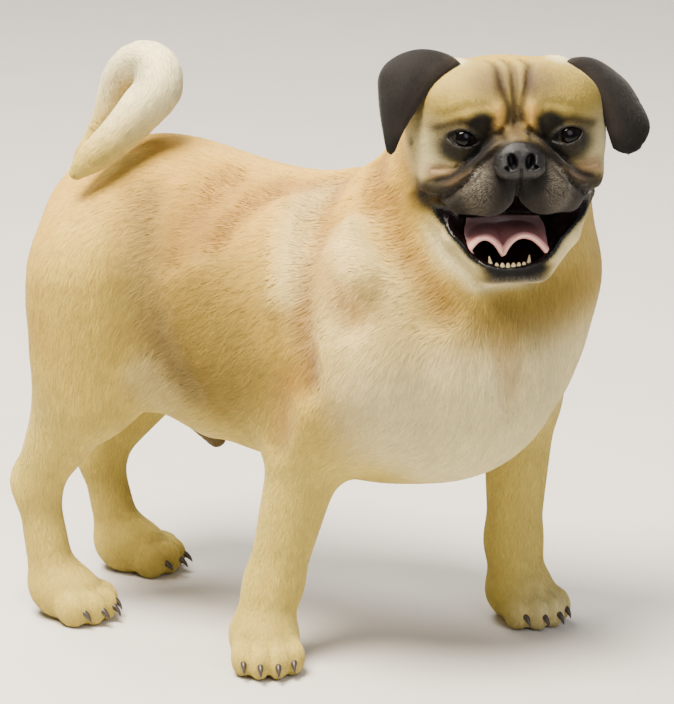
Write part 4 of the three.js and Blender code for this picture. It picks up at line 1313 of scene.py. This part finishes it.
def make_eye(side, name):
    """Globe with a cornea: radius plus its height times exp(-(angle from the pupil's middle / pupil's)^4)."""
    unit, triangles = ball(46, 64)
    angle = np.arccos(np.clip(unit[:, 2], -1, 1))
    radius = EYE_RADIUS - 0.3 + CORNEA_HEIGHT * np.exp(-((angle / PUPIL) ** 4))
    gaze = toward((0.1 * side - 0.08, -1, 0.2))
    points = HEAD.out(unit * radius[:, None] @ gaze.T + on_side(EYE_PLACE, side))
    colour = np.tile(hex_linear(EYE_GROUND), (len(unit), 1))
    for code, share in EYE_RINGS.values():
        colour = colour + (hex_linear(code) - colour) * share(angle)[:, None]
    points, triangles = outward(points, triangles)
    eye = make_piece(name + "_globe", points, triangles, EYE, colour=colour)
    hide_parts(name)


for word, side in SIDES.items():
    make_eye(side, f"eye_{word}")


# Nose

NOSE_TIP = ((0, -30, -7.5), (14, 9, 11.5))
NOSE_WING = ((8, -31, -10), (6.5, 8, 7.5))
NOSTRIL_RIM = ((9.5, -32, -12.5), (4.8, 6, 4))
NOSTRIL = ((5.4, -40, -6.5), (2.9, 8.5, 5.2))
NOSTRIL_TAIL = ((7, -39, -10.5), (15, -32, -10), 1.7, 0.9)
NOSTRIL_FOLD = ((4, -38, -1), (9, -37, -0.5), (14, -32, -5))


def nose_leather(h):
    """The nose with two comma nostrils, a groove down its middle and a rolled rim above each nostril."""
    q = folded(h)
    form = join(3, join(4, egg(q, *NOSE_TIP), egg(q, *NOSE_WING)), egg(q, *NOSTRIL_RIM))
    leaning = q - (0.12 * (q[..., 2:] + 6) * (1, 0, 0))
    form = carve(1.0, carve(1.5, form, egg(leaning, *NOSTRIL)), rod(q, *NOSTRIL_TAIL))
    form = form + 1.5 * np.exp(-((q[..., 0] / 0.8) ** 2)) * smooth(-8, -12, q[..., 2])
    return form - 0.8 * np.exp(-((line_distance(q, NOSTRIL_FOLD) / 2.2) ** 2))


def made_from(form, low, high, cell):
    """Surface nets of a form in head coordinates on an even grid, set on the form."""
    axes = [np.arange(a, b + cell, cell) for a, b in zip(low, high)]
    grid = np.stack(np.meshgrid(*axes, indexing="ij"), -1)
    points, triangles = surface_nets(form(grid), axes)
    return settled(form, points, 2), triangles


points, triangles = made_from(nose_leather, (-26, -46, -28), (22, -14, 6), 0.7)
nose = make_piece("nose_leather", HEAD.out(points), triangles, NOSE_LEATHER)
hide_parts("nose")


# Tongue and teeth

def tongue_surface(along, across):
    """A sheet from the root to the tip: offset goes from -1 to 1 across it. It is arched on each side of a
    dip by 14 along^2 |sin(pi |dip|^0.85)|^0.8, and its edges droop by 9 along offset^4."""
    offset = 2 * across - 1
    dip = offset + 0.1 * (1 - offset**2)
    arch = 14 * along**2 * np.abs(np.sin(np.pi * np.abs(dip) ** 0.85)) ** 0.8
    droop = 9 * along * offset**4
    return np.stack([29 * offset - 6, 30 - 40 * along, -48 - 22 * along + arch - droop], -1)


def held_in(h, form, clearance):
    """Points outside the form, moved to clearance inside it along its slope."""
    for _ in range(4):
        value = form(h) + clearance
        gradient = slope(form, h, value - clearance)
        move = np.maximum(value, 0) / np.maximum((gradient**2).sum(-1), 0.2)
        h = h - gradient * move[:, None]
    return h


def tongue_colours(h):
    """Pink, paler at its edges and palest in front, and in shade towards its root."""
    from_edge = smooth(0.6, 4.0, -mouth(h))[:, None]
    front = smooth(-5.5, -9, h[:, 1])[:, None]
    colour = hex_linear("#d9a09c") * (1 - from_edge) + hex_linear("#c48380") * from_edge
    colour = colour * (1 - front) + hex_linear("#e6aea2") * front
    return colour * (0.35 + 0.65 * smooth(16, -6, h[:, 1]))[:, None]


points, triangles = sheet(tongue_surface, 40, 64, 4.2)
points, triangles = outward(HEAD.out(held_in(points, mouth, 0.8)), triangles)
tongue = make_piece("tongue_flesh", points, triangles, TONGUE_FLESH,
                    colour=tongue_colours(HEAD.into(points)))
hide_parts("tongue")

INCISOR_RADII = (1.75, 1.3, 4.6)
INCISOR_GAP = 3.3
JAW_MIDDLE = -5             # how far the jaw has swung to the dog's right
CANINE_DEPTH = 8
CANINE_HEIGHT = 5.5
CANINE_STEPS = 12
CANINE_LEAN = math.sin(math.radians(8))


def make_incisors():
    """Six upright eggs along the front of the jaw."""
    unit, triangles = ball(12, 16)
    places = [INCISOR_GAP * (i - 2.5) for i in range(6)]
    return [(unit * INCISOR_RADII + (x + JAW_MIDDLE, -12.5 + 0.02 * x * x, -76.5), triangles) for x in places]


def make_canine(side):
    """A tube that leans outwards and bends back by 0.018 times the height squared, its radius
    2.1 (1 - (height / 13.7)^2.2) + 0.15, where height is measured from its lower end."""
    root = np.array((11.5 * side + JAW_MIDDLE, -10, -74))
    steps = np.linspace(-CANINE_DEPTH, CANINE_HEIGHT, CANINE_STEPS)
    risen = steps + CANINE_DEPTH
    bend = np.column_stack([np.zeros(CANINE_STEPS), 0.018 * risen**2, np.zeros(CANINE_STEPS)])
    line = root + steps[:, None] * np.array((CANINE_LEAN * side, -0.12, 1)) + bend
    return tube(line, 2.1 * (1 - (risen / 13.7) ** 2.2) + 0.15, 14)


points, triangles = gathered(make_incisors() + [make_canine(side) for side in (-1, 1)])
make_piece("teeth", HEAD.out(points), triangles, ENAMEL)


# Claws

CLAW_LINE = ((0, -6, 12), (0, -9, 11.6), (0, -12, 10.3), (0, -14.5, 8.2), (0, -16, 5.8))
CLAW_STEPS = 12
CLAW_RADII = np.interp(np.linspace(0, 1, CLAW_STEPS), (0, 0.5, 1), (2.3, 1.9, 0.3))

claws = []
for leg in FORE_LEGS + HIND_LEGS:
    foot = Place(leg["paw"], leg["yaw"])
    for across, forward in TOES:
        for side in (-1, 1):
            line = np.array(CLAW_LINE) + (across * side, forward, 0)
            claws.append(tube(foot.out(curve(line, CLAW_STEPS)), CLAW_RADII, 10))
points, triangles = gathered(claws)
make_piece("claws", points, triangles, HORN)


# Coat

# Tufts on each square millimetre of each region
REGIONS = {
    "coat_face": 3.0, "coat_crown": 2.2, "coat_cheeks": 1.9, "coat_neck": 0.8, "coat_chest": 0.8,
    "coat_back": 0.7, "coat_flank_left": 0.7, "coat_flank_right": 0.7, "coat_belly": 0.6,
    "coat_fore_legs": 1.0, "coat_hind_legs": 0.9, "coat_paws": 1.7, "coat_tail": 1.2,
}
EAR_DENSITY = 2.4


def region_of(p, normals, found):
    """Names each place's region by the part that it is nearest to and the way it faces: the first to fit."""
    q = found["q"]
    on_head = (found["head"] < found["neck"] + 1) & (found["head"] < 8)
    on_leg = (np.minimum(found["fore"], found["hind"]) < found["trunk"] - 1) & (p[:, 2] < 200)
    fits = {
        "coat_tail": found["tail"] < 3.5,
        "coat_face": on_head & (q[:, 1] < 8) & (q[:, 2] < 26),
        "coat_crown": on_head & (q[:, 2] > 8),
        "coat_cheeks": on_head,
        "coat_paws": p[:, 2] < 42,
        "coat_fore_legs": on_leg & (found["fore"] < found["hind"]),
        "coat_hind_legs": on_leg,
        "coat_neck": found["neck"] < found["trunk"] - 2,
        "coat_chest": CHEST.into(p)[:, 1] < -58,
        "coat_back": normals[:, 2] > 0.62,
        "coat_belly": normals[:, 2] < -0.55,
        "coat_flank_left": p[:, 0] > 0,
    }
    return np.select(list(fits.values()), list(fits), "coat_flank_right")


UNWRAPS = {
    "coat_tail": lambda p: round_axis(p, (-10, 90, 0), (0, 0, 1), 270, 380),
    "coat_face": lambda p: HEAD.into(p)[:, [0, 2]] / 160 + (0.5, 0.6),
    "coat_crown": lambda p: HEAD.into(p)[:, [0, 1]] / 200 + (0.5, 0.3),
    "coat_cheeks": lambda p: round_axis(p, HEAD.at(0, 20, -12), HEAD.axes[:, 2], -100, 60),
    "coat_neck": lambda p: round_axis(p, HEAD.at(0, 60, 0), (0, 0, 1), 160, 400),
}


def unwrap(name, p):
    """The coat's own unwrap: flat on the face and crown, around each leg on the legs and paws, with a quarter
    of the width for each, and around the head's, neck's, tail's or trunk's axis elsewhere."""
    if name in UNWRAPS:
        uv = UNWRAPS[name](p)
    elif name in ("coat_fore_legs", "coat_hind_legs", "coat_paws"):
        feet = np.array([leg["paw"][:2] for leg in FORE_LEGS + HIND_LEGS], float)
        which = np.argmin(np.linalg.norm(p[:, None, :2] - feet[None], axis=-1), axis=1)
        around = np.arctan2(p[:, 1] - feet[which, 1], p[:, 0] - feet[which, 0]) / (2 * np.pi) + 0.5
        uv = np.column_stack([(which + 0.02 + around * 0.96) / 4, p[:, 2] / 240])
    else:
        uv = round_axis(p, (0, 0, 200), (0, 1, 0), -200, 180)
    return np.clip(uv, 0.01, 0.99)


def coated_triangles():
    """The skin's triangles that carry hair, by region: not the bare lips and lids, the mouth or the soles."""
    centres = skin_points[skin_triangles].mean(1)
    found = survey(centres)
    bare = skin_marks["bare"][skin_triangles].mean(1) > 0.4
    hairy = ~bare & ~(found["mouth"] < 1.2) & ~(centres[:, 2] < 1.0)
    regions = region_of(centres, skin_normals[skin_triangles].mean(1), found)
    return {name: skin_triangles[(regions == name) & hairy] for name in REGIONS}


def make_coat(name, triangles, density):
    """One region's tufts: their width and lift grow with their length, and both ends carry the markings."""
    root, normal = scatter(skin_points, triangles, skin_normals, density)
    found = survey(root)
    marks = markings(root, found)
    length = coat_length(root, found) * rng.uniform(0.75, 1.15, len(root))
    lie = lie_of_coat(root, normal, found)
    corners, faces = blades(root, normal, lie, length, 0.2 + 0.062 * length, 0.2 + 0.055 * length, skin_form)
    corners[:, 2] = np.maximum(corners[:, 2], TUFT_FLOOR)
    tips = corners[3::4]
    tip_colour = markings(tips, survey(tips))["colour"]
    make_piece(name, corners, faces, FUR,
               colour=tuft_colours(marks["colour"], tip_colour, marks["grey"]),
               uv=tuft_patches(unwrap(name, root)), normals=tuft_normals(normal))


def make_ear_coat(word, side):
    """Velvet over one ear, from its root towards its tip."""
    points, triangles = ear_meshes[word]
    root, normal = scatter(points, triangles, corner_normals(points, triangles), EAR_DENSITY)
    h = HEAD.into(root)
    middle_line = EARS[side][1]
    lie = HEAD.out(np.array(middle_line[-1], float)) - root
    length = rng.uniform(1.6, 2.4, len(root))
    corners, faces = blades(root, normal, lie, length, 0.12 + 0.08 * length, np.full(len(root), 0.22))
    shade = ear_colours(h, side)
    make_piece(f"coat_ear_{word}", corners, faces, VELVET,
               colour=tuft_colours(shade, shade, np.zeros(len(root))),
               uv=tuft_patches(h[:, [0, 2]] / 240 + 0.5), normals=tuft_normals(normal))


coated = coated_triangles()
for name, density in REGIONS.items():
    make_coat(name, coated[name], density)
for word, side in SIDES.items():
    make_ear_coat(word, side)


# Floor, light and camera

FLOOR_HALF = 6.0
# Lamps as (azimuth, elevation, metres away, size, watts, colour)
LAMPS = {
    "sky_key": (-112, 68, 2.3, 1.2, 215, "#fff3e0"),
    "front_fill": (-40, 35, 2.6, 1.6, 25, "#fbf7ff"),
    "back_rim": (150, 60, 2.4, 1.2, 70, "#fff8ee"),
}
WORLD_COLOUR = "#dfe4ea"
WORLD_STRENGTH = 0.34
VIEW_MIDDLE = (-30, -61.4, 190)
CAMERA_PLACE = (-66, 16, 2.6)
CAMERA_LENS = 215.4


def make_floor():
    """A square of paper under the feet, reaching FLOOR_HALF metres each way."""
    corners = np.array([(-1, -1, 0), (1, -1, 0), (1, 1, 0), (-1, 1, 0)]) * FLOOR_HALF
    mesh = bpy.data.meshes.new("floor")
    mesh.from_pydata(corners.tolist(), [], [(0, 1, 2, 3)])
    mesh.materials.append(PAPER)
    floor = bpy.data.objects.new("floor", mesh)
    bpy.context.scene.collection.objects.link(floor)


def put_around(name, data, azimuth, elevation, away):
    """Adds a lamp or camera at an azimuth and elevation around the middle of the view, aimed at it."""
    middle = (np.array(VIEW_MIDDLE) + SHIFT) * MM
    a, e = math.radians(azimuth), math.radians(elevation)
    ray = np.array((math.sin(a) * math.cos(e), -math.cos(a) * math.cos(e), math.sin(e)))
    thing = bpy.data.objects.new(name, data)
    thing.location = middle + away * ray
    thing.rotation_euler = (Vector(middle) - thing.location).to_track_quat("-Z", "Y").to_euler()
    bpy.context.scene.collection.objects.link(thing)
    return thing


def add_lamp(name, azimuth, elevation, away, size, watts, colour):
    """A round lamp, with its size and distance in metres."""
    light = bpy.data.lights.new(name, "AREA")
    light.shape = "DISK"
    light.size = size
    light.energy = watts
    light.color = hex_linear(colour)
    put_around(name, light, azimuth, elevation, away)


make_floor()
for name, settings in LAMPS.items():
    add_lamp(name, *settings)

world = bpy.data.worlds.new("studio")
world.use_nodes = True
background = world.node_tree.nodes["Background"]
background.inputs["Color"].default_value = (*hex_linear(WORLD_COLOUR), 1)
background.inputs["Strength"].default_value = WORLD_STRENGTH
bpy.context.scene.world = world

camera = bpy.data.cameras.new("camera")
camera.lens = CAMERA_LENS
camera.sensor_width = 36
camera.sensor_fit = "AUTO"
camera.clip_end = 50
bpy.context.scene.camera = put_around("camera", camera, *CAMERA_PLACE)
